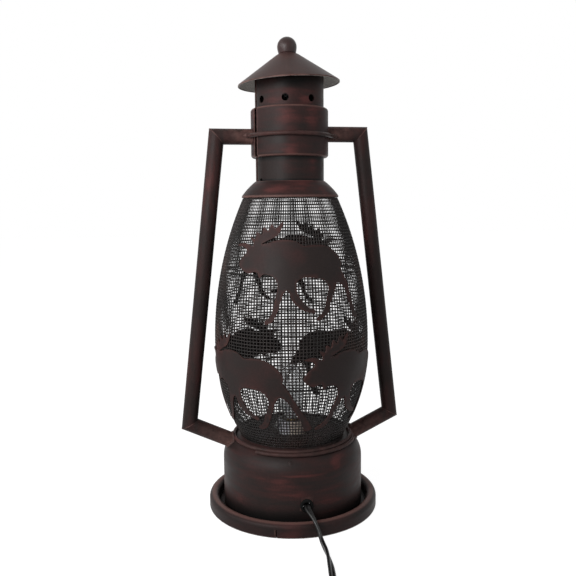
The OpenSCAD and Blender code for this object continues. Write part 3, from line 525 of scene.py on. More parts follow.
def soft_patch(nodes, links, at, size):
    """1 in the middle of a soft patch and 0 outside it. Place and half sizes in millimetres."""
    place, lay = nodes.new("ShaderNodeTexCoord"), nodes.new("ShaderNodeMapping")
    lay.inputs["Location"].default_value = [-a / b for a, b in zip(at, size)]
    lay.inputs["Scale"].default_value = [1 / (b * MM) for b in size]
    far = nodes.new("ShaderNodeVectorMath")
    far.operation = "LENGTH"
    links.new(place.outputs["Object"], lay.inputs["Vector"])
    links.new(lay.outputs["Vector"], far.inputs[0])
    return ramp(nodes, links, far.outputs["Value"], (0.15, grey(1)), (1.0, grey(0)))


print("paints", PAINT_DARK, PAINT_BROWN, PAINT_RUST)


# %% Rubbed bronze
def rubbed_bronze(name, rust, offset, strokes=(1, 1, 5), edge=0.8, edge_paint=EDGE_BROWN,
                  gloss=0.09, dull=(0.42, 0.56), patches=(), painted_shade=(), worn_and_lit_rims=(),
                  paints=(PAINT_DARK, PAINT_BROWN, PAINT_RUST)):
    """Brown-black paint with rust red rubbed in.

    rust says how much of it is red. patches are places and half sizes of redder spots.
    painted_shade holds places and half sizes of painted shade: near-black spots where
    parts shade each other. worn_and_lit_rims are heights and half widths of rims rubbed
    lighter all round, partly worn paint and partly a painted highlight.
    """
    finish, nodes, links, shader = new_finish(name)
    clouds = grain(nodes, links, 22, detail=2, offset=offset)
    wiped = grain(nodes, links, 40, stretch=strokes, detail=4, offset=offset + 3.1, rough=0.5)
    fine = grain(nodes, links, 700, detail=3, offset=offset)
    where = sums(nodes, links, "MULTIPLY", clouds, wiped)
    for at, size in patches:
        spot = sums(nodes, links, "MULTIPLY", soft_patch(nodes, links, at, size), wiped)
        where = sums(nodes, links, "ADD", where, sums(nodes, links, "MULTIPLY", spot, 0.36))
    level = 0.38 - 0.12 * rust
    paint = ramp(nodes, links, where, (level - 0.16, paints[0]), (level, paints[1]),
                 (level + 0.16, paints[2]))
    # Painted shade: each spot blends the paint towards near black where parts shade each other.
    for at, size in painted_shade:
        dark = sums(nodes, links, "MULTIPLY", soft_patch(nodes, links, at, size), 0.9)
        paint = blend_colours(nodes, links, dark, paint, SHADE_BLACK)
    specks = ramp(nodes, links, fine, (0.3, grey(0.45)), (0.7, grey(1.0)))
    speckled = blend_colours(nodes, links, 0.3, paint, specks, "MULTIPLY")
    rubs = grain(nodes, links, 160, detail=4, offset=offset + 7)
    scuffs = ramp(nodes, links, rubs, (0.35, grey(0.25)), (0.65, grey(1.0)))
    share = sums(nodes, links, "MULTIPLY", worn_edges(nodes), edge)
    share = sums(nodes, links, "MULTIPLY", share, scuffs)
    # Rims rubbed lighter all round at set heights: partly worn paint, partly a painted highlight along each
    # rim.
    for z, half in worn_and_lit_rims:
        worn_and_lit_rim = soft_patch(nodes, links, (0, 0, z), (ALL_ROUND, ALL_ROUND, half))
        share = sums(nodes, links, "MAXIMUM", share, sums(nodes, links, "MULTIPLY", worn_and_lit_rim, 0.6))
    colour = blend_colours(nodes, links, share, speckled, edge_paint)
    links.new(colour, shader.inputs["Base Color"])
    sheen = ramp(nodes, links, wiped, (0.3, grey(dull[0])), (0.7, grey(dull[1])))
    links.new(sheen, shader.inputs["Roughness"])
    shader.inputs["Specular IOR Level"].default_value = gloss
    bump(nodes, links, shader, fine, 0.00006, 0.6)
    return finish


print("bronze is mixed for each piece with its own rubs")

# %% Bronze for wire, tube, cap and cut-outs
wire_bronze = rubbed_bronze("wire_bronze", rust=0.7, strokes=(1, 1, 1), offset=5)
tube_bronze = rubbed_bronze("tube_bronze", rust=0.3, strokes=(5, 5, 1), offset=11)
cap_paints = ((0.038, 0.0215, 0.0195), (0.05, 0.0275, 0.025), (0.066, 0.033, 0.029))
cap_bronze = rubbed_bronze("cap_bronze", rust=0.5, strokes=(1, 1, 2), offset=17, gloss=0.07,
                           dull=(0.36, 0.46), paints=cap_paints)
cutout_edge = (0.046, 0.0185, 0.016)
cutout_bronze = rubbed_bronze("cutout_bronze", rust=-0.1, strokes=(1, 1, 1), offset=23,
                              edge_paint=cutout_edge, gloss=0.11, dull=(0.5, 0.62))
print("bronze finishes:", len([m for m in bpy.data.materials if "bronze" in m.name]))

# %% [markdown]
# ## Spun and rolled sheet
# The tray, drum, skirt, collar, neck and cap are all sheet metal turned about one axis.
# Each is drawn as one line in half section, from edge to edge. The line gets the
# sheet's thickness, extra points close to each corner so that wear stays near it, and
# is then turned about the axis. A rolled piece stops short of a full turn and leaves
# its open joint. Blender's Screw and Solidify modifiers could make such a form too, but
# then the points at a corner couldn't be placed where the wear needs them.

# %% Lines in half section: [radius, height]
def bend(centre_r, centre_z, r, start, stop, parts=10):
    """Part of a circle in the section, in degrees from straight out."""
    turn = [math.radians(start + (stop - start) * i / parts) for i in range(parts + 1)]
    return [(centre_r + r * math.cos(a), centre_z + r * math.sin(a)) for a in turn]


def held(line, reach_mm=0.7):
    """The same line with a point near each end of every long stretch."""
    out = [line[0]]
    for (r0, z0), (r1, z1) in zip(line, line[1:]):
        far = math.hypot(r1 - r0, z1 - z0)
        if far > 3 * reach_mm:
            t = reach_mm / far
            out += [(r0 + (r1 - r0) * t, z0 + (z1 - z0) * t), (r1 + (r0 - r1) * t, z1 + (z0 - z1) * t)]
        out.append((r1, z1))
    return out


def thick(line, t=SHEET):
    """The closed section of a sheet whose one face is the line and whose other lies t to its right."""
    other = []
    for i, (r, z) in enumerate(line):
        before, after = line[max(i - 1, 0)], line[min(i + 1, len(line) - 1)]
        steps = [Vector((r - before[0], z - before[1])), Vector((after[0] - r, after[1] - z))]
        ways = [s.normalized() for s in steps if s.length > 1e-9]
        middle = sum(ways, Vector((0, 0))).normalized()
        stretch = t / max(0.35, middle.dot(ways[0]))
        other.append((r + middle.y * stretch, z - middle.x * stretch))
    return line + other[::-1]


print("sheet is", SHEET, "mm thick")


# %% Turning a section
def turned(name, section, parts, joint=None, closed=True):
    """A section turned about the lamp's axis. joint is (azimuth, width) of an open joint."""
    points, faces, n = [], [], len(section)
    count = parts + 1 if joint else parts
    for i in range(count):
        for r, z in section:
            a = 2 * math.pi * i / parts
            if joint:
                azimuth, width = joint
                half = math.asin(min(0.9, width / 2 / max(r, width)))
                a = math.radians(azimuth) + half + (2 * math.pi - 2 * half) * i / parts
            points.append((r * math.sin(a), -r * math.cos(a), z))
    for i in range(parts):
        j = (i + 1) % count
        for k in range(n if closed else n - 1):
            m = (k + 1) % n
            faces.append((i * n + k, j * n + k, j * n + m, i * n + m))
    if joint:
        for i in (0, count - 1):
            row = i * n
            faces += [(row + k, row + k + 1, row + n - 2 - k, row + n - 1 - k) for k in range(n // 2 - 1)]
    return link(name, points, faces)


print("sections turn about the lamp's axis")


# %% Cutting holes
def cut_away(thing, cutter):
    """Takes a closed form out of a piece, and the form out of the scene."""
    cut = thing.modifiers.new("cut", "BOOLEAN")
    cut.object = cutter
    cut.solver = "EXACT"
    now = bpy.context.evaluated_depsgraph_get()
    thing.data = bpy.data.meshes.new_from_object(thing.evaluated_get(now))
    thing.modifiers.clear()
    bpy.data.objects.remove(cutter)


def block(name, low_corner, high_corner, turn=0):
    """A plain box to cut with, turned about the lamp's axis."""
    (x0, y0, z0), (x1, y1, z1) = low_corner, high_corner
    spin = Matrix.Rotation(math.radians(turn), 3, "Z")
    points = [spin @ Vector((x, y, z)) for z in (z0, z1) for y in (y0, y1) for x in (x0, x1)]
    faces = [(0, 2, 3, 1), (4, 5, 7, 6), (0, 1, 5, 4), (2, 6, 7, 3), (0, 4, 6, 2), (1, 3, 7, 5)]
    return link(name, points, faces)


def rod(name, start, stop, r, sides=32):
    """A round rod between two points, to cut with or to build on."""
    start, stop = Vector(start), Vector(stop)
    along = (stop - start).normalized()
    turn = along.to_track_quat("Z", "Y").to_matrix()
    points, faces = [], []
    for at in (start, stop):
        for k in range(sides):
            a = 2 * math.pi * k / sides
            points.append(at + turn @ Vector((r * math.cos(a), r * math.sin(a), 0)))
    faces += [(k, (k + 1) % sides, sides + (k + 1) % sides, sides + k) for k in range(sides)]
    faces += [tuple(range(sides))[::-1], tuple(range(sides, 2 * sides))]
    return link(name, points, faces)


print("cutters are blocks and rods")


# %% Several objects into one
def joined(name, things):
    """Several new objects made into one."""
    form = bmesh.new()
    for thing in things:
        form.from_mesh(thing.data)
        bpy.data.objects.remove(thing)
    mesh = bpy.data.meshes.new(name)
    form.to_mesh(mesh)
    form.free()
    whole = bpy.data.objects.new(name, mesh)
    bpy.context.scene.collection.objects.link(whole)
    return whole


print("joining ready")

# %% [markdown]
# ### The tray
# The lamp stands on a pressed tray with a rolled rim, fifteen centimetres wide. The rim
# is open underneath, and where its strip meets itself a short upright slit is left, a
# little to the left of the front. A torus on a disc would give the rim but not its open
# underside, so the sheet's own line is turned.

# %% Tray
RIM_FLAT, ACCESS_R, SLIT_W, SLIT_AT = 2.4, 42, 0.9, -21
rim_bend, RIM_PEAK, tray_floor = RIM_W / 2, RIM_TOP - RIM_FLAT, FELT_T + SHEET
rim_line = [(TRAY_R, RIM_LOW)] + bend(TRAY_R - rim_bend, RIM_PEAK - rim_bend, rim_bend, 0, 180, 16)
rim_line += [(TRAY_R - RIM_W, tray_floor + 0.6), (TRAY_R - RIM_W - 0.5, tray_floor)]
rim_line += [(ACCESS_R + 0.6, tray_floor), (ACCESS_R, tray_floor)]
tray = turned("tray", thick(held(rim_line)[::-1]), 192)
slit = block("slit", (-SLIT_W / 2, -TRAY_R - 2, -1), (SLIT_W / 2, -TRAY_R + 2, RIM_PEAK * 0.6), SLIT_AT)
cut_away(tray, slit)
# Painted shade: low on the tray, towards the middle, the paint goes towards near black where the drum and the
# rim shade it.
tray_shade = ((0, 0, 4), (110, 110, 12))
tray_bronze = rubbed_bronze("tray_bronze", rust=0.35, offset=31, edge=0.5, worn_and_lit_rims=((RIM_PEAK, 1.0),),
                            painted_shade=(tray_shade,))
finish_piece(tray, tray_bronze, ["tray_base"])

# %% [markdown]
# ### The felt
# A ring of black felt keeps the tray off the table. Felt is pressed fibre. Its hairs
# could be grown one by one, but it only shows as a thin dark line under the tray, so a
# fine noise gives its mat of short hairs well enough.

# %% Felt
felt, nodes, links, shader = new_finish("black_felt")
hairs = grain(nodes, links, 2600, stretch=(1, 0.3, 1), detail=6, rough=0.75)
links.new(ramp(nodes, links, hairs, (0.3, grey(0.012)), (0.75, grey(0.05))), shader.inputs["Base Color"])
shader.inputs["Roughness"].default_value = 0.95
shader.inputs["Sheen Weight"].default_value = 0.3
bump(nodes, links, shader, hairs, 0.0004, 0.8)
FELT_R = reach("felt_ring")
felt_line = [(FELT_R - 0.4, FELT_T), (FELT_R, FELT_T - 0.4), (FELT_R, 0.3), (FELT_R - 0.3, 0)]
felt_line += [(ACCESS_R + 0.3, 0), (ACCESS_R, 0.3), (ACCESS_R, FELT_T - 0.3), (ACCESS_R + 0.3, FELT_T)]
finish_piece(turned("felt_pad", felt_line, 128), felt, ["felt_ring"])

# %% [markdown]
# ### The drum
# The drum is spun steel with a rounded shoulder and a flat top. The cord's bushing has
# a hole low in its front, and high on its front a small pip stands out, where something
# was spot welded inside. Relief in the finish would leave the pip flat when it is seen
# from the side, so it is a shallow dome of its own, laid square on the sheet.

# %% Drum
shoulder_x, shoulder_z = DRUM_R - SHOULDER_R, DRUM_TOP - SHOULDER_R
SOCKET_HOLE_R, OUTLET_Z, BARREL_R = 13.5, 21.6, 4.65
drum_line = [(DRUM_R, FELT_T + SHEET + 0.02), (DRUM_R, 16), (DRUM_R, 30)]
drum_line += bend(shoulder_x, shoulder_z, SHOULDER_R, 0, 90, 24)
drum_line += [(SOCKET_HOLE_R + 0.6, DRUM_TOP), (SOCKET_HOLE_R, DRUM_TOP - 0.15)]
drum = turned("drum", thick(held(drum_line)[::-1]), 192)
cut_away(drum, rod("bore", (0, -DRUM_R + 5, OUTLET_Z), (0, -DRUM_R - 5, OUTLET_Z), BARREL_R))
print("drum", DRUM_TOP, "mm high, outlet at", OUTLET_Z)

# %% The pip on the drum
PIP_Z, PIP_R, PIP_H, PIP_SUNK, pip_turn = 56.5, 1.7, 0.42, 0.3, math.radians(-12)
pip_rise = math.asin((PIP_Z - shoulder_z) / SHOULDER_R)
front = Vector((math.sin(pip_turn), -math.cos(pip_turn), 0))
outward = front * math.cos(pip_rise) + Z_UP * math.sin(pip_rise)
foot = front * shoulder_x + Z_UP * shoulder_z + outward * SHOULDER_R
pip_line = [(0, -PIP_SUNK), (PIP_R, -PIP_SUNK)]
pip_line += [(PIP_R * math.cos(a), PIP_H * math.sin(a)) for a in (0, 0.3, 0.6, 0.9, 1.2, 1.4)]
pip_line.append((0, PIP_H))
pip = turned("pip", pip_line, 24, closed=False)
square_on = outward.to_track_quat("Z", "Y").to_matrix().to_4x4()
pip.data.transform(Matrix.Translation(foot * MM) @ square_on)
drum = joined("drum", [drum, pip])
print("pip", 2 * PIP_R, "mm wide and", PIP_H, "mm high")

# %% The drum's rubs, and painted shade at its foot
rub_line = ((-4, -DRUM_R, 46.5), (34, 12, 1.5))
rub_patch = ((27, -DRUM_R + 6, 56), (7, 14, 9))
rub_cloud = ((-16, -DRUM_R + 2, 33), (22, 14, 14))
# Painted shade: low on the drum's foot the paint goes towards near black, in the shaded gap above the tray.
drum_foot_shade = ((0, 0, 8), (ALL_ROUND, ALL_ROUND, 12))
drum_bronze = rubbed_bronze("drum_bronze", rust=0.35, offset=41, painted_shade=(drum_foot_shade,),
                            patches=(rub_line, rub_patch, rub_cloud))
finish_piece(drum, drum_bronze, ["drum_shell"])

# %% [markdown]
# ### Skirt, neck and collar
# The skirt is a bulged ring over the cage's edge. The neck is strip rolled into a tube
# with its joint at the left, pierced with eight round vent holes. The collar is a
# wider rolled band round it, with both edges turned in to the neck. Tubes from Blender's
# menu would be closed all round, and it is the open joints and the soft edges that say
# bent sheet, so each piece is a turned line that may stop short of a full turn.

# %% Skirt
def bulge_centre(start, stop, r):
    """Centre of the arc that bulges outwards between two section points."""
    p, q = Vector(start), Vector(stop)
    d = q - p
    rise = math.sqrt(r * r - d.length_squared / 4)
    return (p + q) / 2 + rise * Vector((-d.y, d.x)) / d.length


SKIRT_BULGE, SKIRT_LIP, SKIRT_DROP = 62, 1.5, 1.8
skirt_from, skirt_to = (SKIRT_R, SKIRT_LOW + SKIRT_LIP), (NECK_R + SHEET, SKIRT_TOP - SKIRT_DROP)
centre = bulge_centre(skirt_from, skirt_to, SKIRT_BULGE)
angles = [math.degrees(math.atan2(z - centre.y, r - centre.x)) for r, z in (skirt_from, skirt_to)]
skirt_line = [(SKIRT_R, SKIRT_LOW), (SKIRT_R, SKIRT_LOW + 0.5)]
skirt_line += bend(centre.x, centre.y, SKIRT_BULGE, *angles, 14)
skirt_line.append((NECK_R + 0.1, SKIRT_TOP - SKIRT_DROP))
skirt = turned("skirt", thick(held(skirt_line, 0.5)[::-1]), 160)
skirt_rubs = (((-20, -33, SKIRT_LOW + 6), (16, 12, 7)), ((22, -30, SKIRT_LOW + 4), (10, 10, 5)))
skirt_bronze = rubbed_bronze("skirt_bronze", rust=0.4, offset=53, patches=skirt_rubs,
                             worn_and_lit_rims=((SKIRT_LOW + 1, 1.2),))
finish_piece(skirt, skirt_bronze, ["shoulder_skirt"])

# %% Neck with its joint and vents
VENT_Z, VENT_R, VENT_COUNT, VENT_PHASE = 352.8, 2.9, 8, -17
NECK_JOINT_AT, NECK_JOINT_W, NOTCH_AT, NOTCH_W = -84, 5, -66, 3
neck_line = [(NECK_R, NECK_LOW), (NECK_R, 300), (NECK_R, 326), (NECK_R, NECK_TOP)]
neck = turned("neck", thick(held(neck_line)[::-1]), 160, joint=(NECK_JOINT_AT, NECK_JOINT_W))
notch_low = (-NOTCH_W / 2, -NECK_R - 2, SKIRT_TOP - 4)
notch_high = (NOTCH_W / 2, -NECK_R + 2, SKIRT_TOP + 0.4)
cut_away(neck, block("notch", notch_low, notch_high, NOTCH_AT))
for i in range(VENT_COUNT):
    a = math.radians(VENT_PHASE + 360 * i / VENT_COUNT)
    way = Vector((math.sin(a), -math.cos(a), 0))
    up = Z_UP * VENT_Z
    cut_away(neck, rod("punch", way * (NECK_R - 4) + up, way * (NECK_R + 4) + up, VENT_R))
print(VENT_COUNT, "vents of", 2 * VENT_R, "mm")

# %% The neck's red patches, partly painted sheen, and painted shade under the cap, in the joint, over the skirt and under the collar
# Red patches down the neck's front: partly rubbed rust, partly painted sheen where the light falls.
neck_rust_and_sheen = (((-8, -NECK_R, 300), (11, 9, 15)), ((15, -NECK_R + 4, 303), (6, 9, 12)),
             ((10, -NECK_R, 351), (9, 8, 5)))
# Painted shade on the neck: the cap's shadow, the shade inside the open joint, and dark lines where the skirt
# and the collar shade it.
under_cap = ((0, -NECK_R, 366), (38, 30, 9))
in_joint = ((-NECK_R, -3, 328), (4, 12, 70))
over_skirt = ((0, 0, SKIRT_TOP - SKIRT_DROP + 0.4), (ALL_ROUND, ALL_ROUND, 1.8))
under_collar = ((0, 0, COLLAR_LOW - 1), (ALL_ROUND, ALL_ROUND, 3.4))
neck_bronze = rubbed_bronze("neck_bronze", rust=0.25, offset=61, patches=neck_rust_and_sheen,
                            painted_shade=(under_cap, in_joint, over_skirt, under_collar))
finish_piece(neck, neck_bronze, ["neck_tube"])

# %% Collar
turn_in, COLLAR_JOINT_AT, COLLAR_JOINT_W = 2.5, -69.5, 4.4
collar_line = [(NECK_R + 0.1, COLLAR_LOW)]
collar_line += bend(COLLAR_R - turn_in, COLLAR_LOW + turn_in, turn_in, -90, 0, 8)
collar_line += bend(COLLAR_R - turn_in, COLLAR_TOP - turn_in, turn_in, 0, 90, 8)
collar_line += [(NECK_R + 0.1, COLLAR_TOP)]
collar = turned("collar", thick(held(collar_line)[::-1]), 160, joint=(COLLAR_JOINT_AT, COLLAR_JOINT_W))
# Red patches down the collar's front: partly rubbed rust, partly painted sheen where the light falls.
collar_rust_and_sheen = (((-9, -COLLAR_R, 337), (14, 9, 16)), ((13, -COLLAR_R + 3, 335), (8, 9, 15)),
               ((-6, -COLLAR_R, 311), (9, 9, 12)))
collar_bronze = rubbed_bronze("collar_bronze", rust=0.4, offset=71, patches=collar_rust_and_sheen,
                              worn_and_lit_rims=((COLLAR_TOP - 0.8, 1.3), (COLLAR_LOW + 0.9, 1.2)))
finish_piece(collar, collar_bronze, ["collar_sleeve"])

# %% [markdown]
# ## Wire and tube
# Everything else on the lantern's body is wire or tube. A bar is swept along a line of
# points: a ring of points is carried along, turned as little as possible from one point
# to the next, so that it never twists. A curve with a bevel would do for one wire, but
# here the radius may change along the way, which a bead of weld needs. The ends are
# rounded, as a cropped and painted wire's are.

# %% A round bar along a way
def swept(name, way, size, sides, round_ends=True):
    """size is one radius, or one for each point of the way."""
    way = [Vector(p) for p in way]
    sizes = list(size) if hasattr(size, "__len__") else [size] * len(way)
    heads = [(way[min(i + 1, len(way) - 1)] - way[max(i - 1, 0)]).normalized() for i in range(len(way))]
    if round_ends:
        for end, sign in ((0, -1), (-1, 1)):
            tip, head, r = way[end], heads[end] * sign, sizes[end]
            caps = [(tip + head * r * 0.5, r * 0.86), (tip + head * r * 0.86, r * 0.5)]
            if end == 0:
                way = [caps[1][0], caps[0][0]] + way
                sizes = [caps[1][1], caps[0][1]] + sizes
                heads = [heads[0], heads[0]] + heads
            else:
                way += [c[0] for c in caps]
                sizes += [c[1] for c in caps]
                heads += [heads[-1], heads[-1]]
    side = heads[0].orthogonal().normalized()
    points, faces = [], []
    for i, at in enumerate(way):
        side = (side - heads[i] * side.dot(heads[i])).normalized()
        other = heads[i].cross(side)
        for k in range(sides):
            a = 2 * math.pi * k / sides
            points.append(at + (side * math.cos(a) + other * math.sin(a)) * sizes[i])
    for i in range(len(way) - 1):
        for k in range(sides):
            m = (k + 1) % sides
            faces.append((i * sides + k, i * sides + m, (i + 1) * sides + m, (i + 1) * sides + k))
    faces += [tuple(range(sides))[::-1], tuple(range((len(way) - 1) * sides, len(way) * sides))]
    return link(name, points, faces)


print("a bar is carried along its way without a twist")


# %% Places round the lamp
def round_at(azimuth, r, z):
    """A place at an azimuth, which is measured from the front towards the right."""
    a = math.radians(azimuth)
    return Vector((r * math.sin(a), -r * math.cos(a), z))


print("front is", round_at(0, 1, 0)[:], "and right is", [round(v, 3) for v in round_at(90, 1, 0)])

# %% [markdown]
# ### The ring on the drum
# One long wire lies on the drum's shoulder where the cage stands. It passes its own
# end: from the front left to the right side a second strand lies below the first. It
# is drawn as one wire that starts on the lower track, climbs beside the right arm and
# goes once round.

# %% Ring wire
RING_WIRE_R, RING_R, RING_STEPS = 1.6, 52, 240
RING_FROM, RING_SWEEP, CLIMB_FROM, CLIMB_SPAN = -43, 479, 64, 15
sit = SHOULDER_R + RING_WIRE_R
up_angle = math.acos((RING_R - shoulder_x) / sit)
low_angle = up_angle - 2 * math.asin((RING_WIRE_R + 0.05) / sit)
ring_way = []
for i in range(RING_STEPS + 1):
    azimuth = RING_FROM + RING_SWEEP * i / RING_STEPS
    climb = max(0, min(1, (azimuth - CLIMB_FROM) / CLIMB_SPAN))
    climb = climb * climb * (3 - 2 * climb)
    a = low_angle + (up_angle - low_angle) * climb
    ring_way.append(round_at(azimuth, shoulder_x + sit * math.cos(a), shoulder_z + sit * math.sin(a)))
finish_piece(swept("ring_wire", ring_way, RING_WIRE_R, 14), wire_bronze, ["base_ring"])

# %% [markdown]
# ### The wires round the collar
# Two bent wires clasp the collar between the frame's top arms. Each ends in a short
# bend along the arm, and a drop of weld holds it there. A full ring with gaps would miss
# those bends, so half of the wire is drawn and the other half is the same, turned round.

# %% Collar wires
COLLAR_WIRE_R, ARM_Z, CLASP_HALF, CLASP_STEP = 1.7, 325, 66, 3
wire_r, wire_z = COLLAR_R + COLLAR_WIRE_R, ARM_Z - 1
clasp = []
for turn in (0, 180):
    bent = [round_at(a, wire_r, wire_z) for a in range(-CLASP_HALF, CLASP_HALF + 1, CLASP_STEP)]
    spin = Matrix.Rotation(math.radians(turn), 3, "Z")
    start = [(-38.0, -8.2, wire_z), (-36.4, -8.4, wire_z), (-34.4, -9.8, wire_z)]
    stop = [(-x, y, z) for x, y, z in start[::-1]]
    way = smooth_way([list(p) for p in start + [tuple(b) for b in bent[2:-2]] + stop], 3)
    clasp.append(swept("clasp", [spin @ Vector(p) for p in way], COLLAR_WIRE_R, 14))
finish_piece(joined("collar_clasps", clasp), wire_bronze, ["collar_wires"])


# %% Drops of weld that hold them
def weld(start, stop, r, seed):
    """A short uneven bead of weld."""
    steps, way, sizes = 12, [], []
    for i in range(steps + 1):
        t = i / steps
        wander = noise.noise(Vector((seed, 7 * t, 0)))
        way.append(Vector(start).lerp(Vector(stop), t) + Vector((0, 0, 0.25 * wander)))
        sizes.append(r * (0.55 + 0.45 * math.sin(math.pi * (0.08 + 0.84 * t))) * (1 + 0.3 * wander))
    return swept("bead", way, sizes, 10)


beads = []
for sx in (-1, 1):
    for sy in (-1, 1):
        from_collar, along_arm = (sx * 35.2, sy * 6.9, wire_z + 0.8), (sx * 39.4, sy * 6.7, wire_z)
        beads.append(weld(from_collar, along_arm, 1.6, sx + 3 * sy))
finish_piece(joined("clasp_welds", beads), wire_bronze)

# %% [markdown]
# ### The side frames
# Each side frame is half inch tube in three lengths, sawn to mitres and welded: a short
# level arm from the collar, a long leg that leans outwards, and a foot that comes back
# to the drum. Three cylinders pushed into each other would do from afar, but their ends
# would stick out at the corners. So one tube runs through all three lengths. At a corner
# its ring of points lies in the plane of the mitre, which is what keeps the corner sharp.

# %% The frame's middle line
TUBE_R, TUBE_IN, TUBE_SIDES = 6.65, 0.42, 40
LEG_TOP_X, LEG_LOW_X, LEG_LOW_Z = 63 - TUBE_IN, 91.5 - TUBE_IN, 77
ARM_RISE = {"right": 1.4, "left": -1.3}


def frame_way(rise):
    """The middle line of the right frame. rise is how much its arm is set too high."""
    return [Vector((COLLAR_R - 0.7, 0, ARM_Z + rise)), Vector((LEG_TOP_X, 0, ARM_Z + rise)),
            Vector((LEG_LOW_X, 0, LEG_LOW_Z)), Vector((RING_R, 0, DRUM_TOP - 6))]


frame_line = frame_way(0)
print("leg", round((frame_line[2] - frame_line[1]).length), "mm long")

# %% The drum's form, which shapes the foot
FORM_LOW, FORM_HIGH, FORM_R = -5, 95, 0.01
seat_r = RING_R + RING_WIRE_R + 0.05
seat_angle = math.degrees(math.acos((seat_r - shoulder_x) / SHOULDER_R))
drum_form_line = [(FORM_R, FORM_LOW), (DRUM_R, FORM_LOW), (DRUM_R, shoulder_z)]
drum_form_line += bend(shoulder_x, shoulder_z, SHOULDER_R, 0, seat_angle, 14)[1:]
drum_form_line += [(seat_r, FORM_HIGH), (FORM_R, FORM_HIGH)]
print("the foot stops", round(seat_angle, 1), "degrees up the shoulder")


# %% A mitred tube
def mitred_tube(name, line, r, sides):
    """A tube along straight stretches in the XZ plane, with a mitre at each inner point."""
    points, faces, rings = [], [], []
    ways = [(b - a).normalized() for a, b in zip(line, line[1:])]
    for i, at in enumerate(line):
        before, after = ways[max(i - 1, 0)], ways[min(i, len(ways) - 1)]
        face = (before + after).normalized()
        stations = [0]
        if 0 < i < len(line) - 1:
            stations = [-2.6, -1.2, 0, 1.2, 2.6]
        for far in stations:
            way = before if far < 0 or i == len(line) - 1 else after
            across = way.cross(Vector((0, 1, 0))).normalized()
            ring = []
            for k in range(sides):
                a = 2 * math.pi * k / sides
                spot = at + Vector((0, math.cos(a) * r, 0)) + across * (math.sin(a) * r)
                shift = -(spot - at).dot(face) / way.dot(face) if len(stations) > 1 else 0
                ring.append(spot + way * (shift + far))
            rings.append(ring)
    for ring in rings:
        points += ring
    for i in range(len(rings) - 1):
        for k in range(sides):
            m = (k + 1) % sides
            faces.append((i * sides + k, i * sides + m, (i + 1) * sides + m, (i + 1) * sides + k))
    faces += [tuple(range(sides))[::-1], tuple(range((len(rings) - 1) * sides, len(rings) * sides))]
    return link(name, points, faces)


print("mitred tubes have", TUBE_SIDES, "sides")

# %% Both side frames
for side, rise in ARM_RISE.items():
    frame_tube = mitred_tube(side + "_frame", frame_way(rise), TUBE_R, TUBE_SIDES)
    cut_away(frame_tube, turned("drum_form", drum_form_line, 128))
    if side == "left":
        frame_tube.data.transform(Matrix.Diagonal((-1, 1, 1, 1)))
        frame_tube.data.flip_normals()
    stands_for = [side + end for end in ("_top_arm", "_post", "_lower_arm")]
    finish_piece(frame_tube, tube_bronze, stands_for)


# %% Bead of weld round a foot
BEAD_STEPS, BEAD_R = 48, 1.15


def on_drum(r, z):
    """Whether a place in the drum's half section is inside it."""
    if z < shoulder_z or r < shoulder_x:
        return r < DRUM_R and z < DRUM_TOP
    return math.hypot(r - shoulder_x, z - shoulder_z) < SHOULDER_R


def foot_bead(sx):
    """A closed bead where the foot's tube meets the drum, found by walking down the tube."""
    way = (frame_line[3] - frame_line[2]).normalized()
    across = way.cross(Vector((0, 1, 0)))
    line, sizes = [], []
    for k in range(BEAD_STEPS + 1):
        a = 2 * math.pi * k / BEAD_STEPS
        spot = frame_line[2] + Vector((0, math.cos(a), 0)) * TUBE_R + across * math.sin(a) * TUBE_R
        while not (on_drum(math.hypot(spot.x, spot.y), spot.z) or math.hypot(spot.x, spot.y) < seat_r):
            spot += way * 0.1
        line.append(Vector((sx * spot.x, spot.y, spot.z)))
        wander = noise.noise(Vector((sx * 5, 2.2 * math.cos(a), 2.2 * math.sin(a))))
        sizes.append(BEAD_R * (1 + 0.35 * wander))
    return swept("bead", line, sizes, 10, round_ends=False)


print("bead of", BEAD_STEPS, "steps")


# %% The ground mitres
RIDGE_R, RIDGE_OUT = 0.42, 0.955


def mitre_bead(corner, sx):
    """The thin ridge left round a mitre after grinding, its middle RIDGE_OUT of the way to the skin."""
    line_here = frame_way(ARM_RISE["right" if sx > 0 else "left"])
    before = (line_here[corner] - line_here[corner - 1]).normalized()
    after = (line_here[corner + 1] - line_here[corner]).normalized()
    face = (before + after).normalized()
    across = before.cross(Vector((0, 1, 0)))
    line, sizes = [], []
    for k in range(BEAD_STEPS + 1):
        a = 2 * math.pi * k / BEAD_STEPS
        off = Vector((0, math.cos(a), 0)) * TUBE_R + across * math.sin(a) * TUBE_R
        spot = line_here[corner] + (off - before * (off.dot(face) / before.dot(face))) * RIDGE_OUT
        line.append(Vector((sx * spot.x, spot.y, spot.z)))
        wander = noise.noise(Vector((corner, 3 * math.cos(a), 3 * math.sin(a))))
        sizes.append(RIDGE_R * (1 + 0.5 * wander))
    return swept("ridge", line, sizes, 8, round_ends=False)


beads = [foot_bead(sx) for sx in (-1, 1)]
beads += [mitre_bead(corner, sx) for corner in (1, 2) for sx in (-1, 1)]
finish_piece(joined("frame_welds", beads), tube_bronze)

# %% [markdown]
# ## The cap and its ball
# The cap is a plain cone with a small turned lip. It was fitted a little crooked, so
# it leans towards the left tube with its stud and ball. A faint fold runs down its
# front, from where the sheet was rolled. A ready cone has no thickness at its edge, which
# is seen from below here, so the sheet's line is turned and the fold is pushed into it.
# Underneath the cap has only primer, and the bronze paint has drifted over that in specks.

# %% Bare primer under the cap
primer, nodes, links, shader = new_finish("grey_primer")
overspray = grain(nodes, links, 1100, detail=4, rough=0.7)
links.new(ramp(nodes, links, overspray, (0.32, grey(0.30)), (0.6, (0.78, 0.74, 0.68))),
          shader.inputs["Base Color"])
shader.inputs["Roughness"].default_value = 0.85
shader.inputs["Specular IOR Level"].default_value = 0.1
bump(nodes, links, shader, overspray, 0.00005, 0.5)

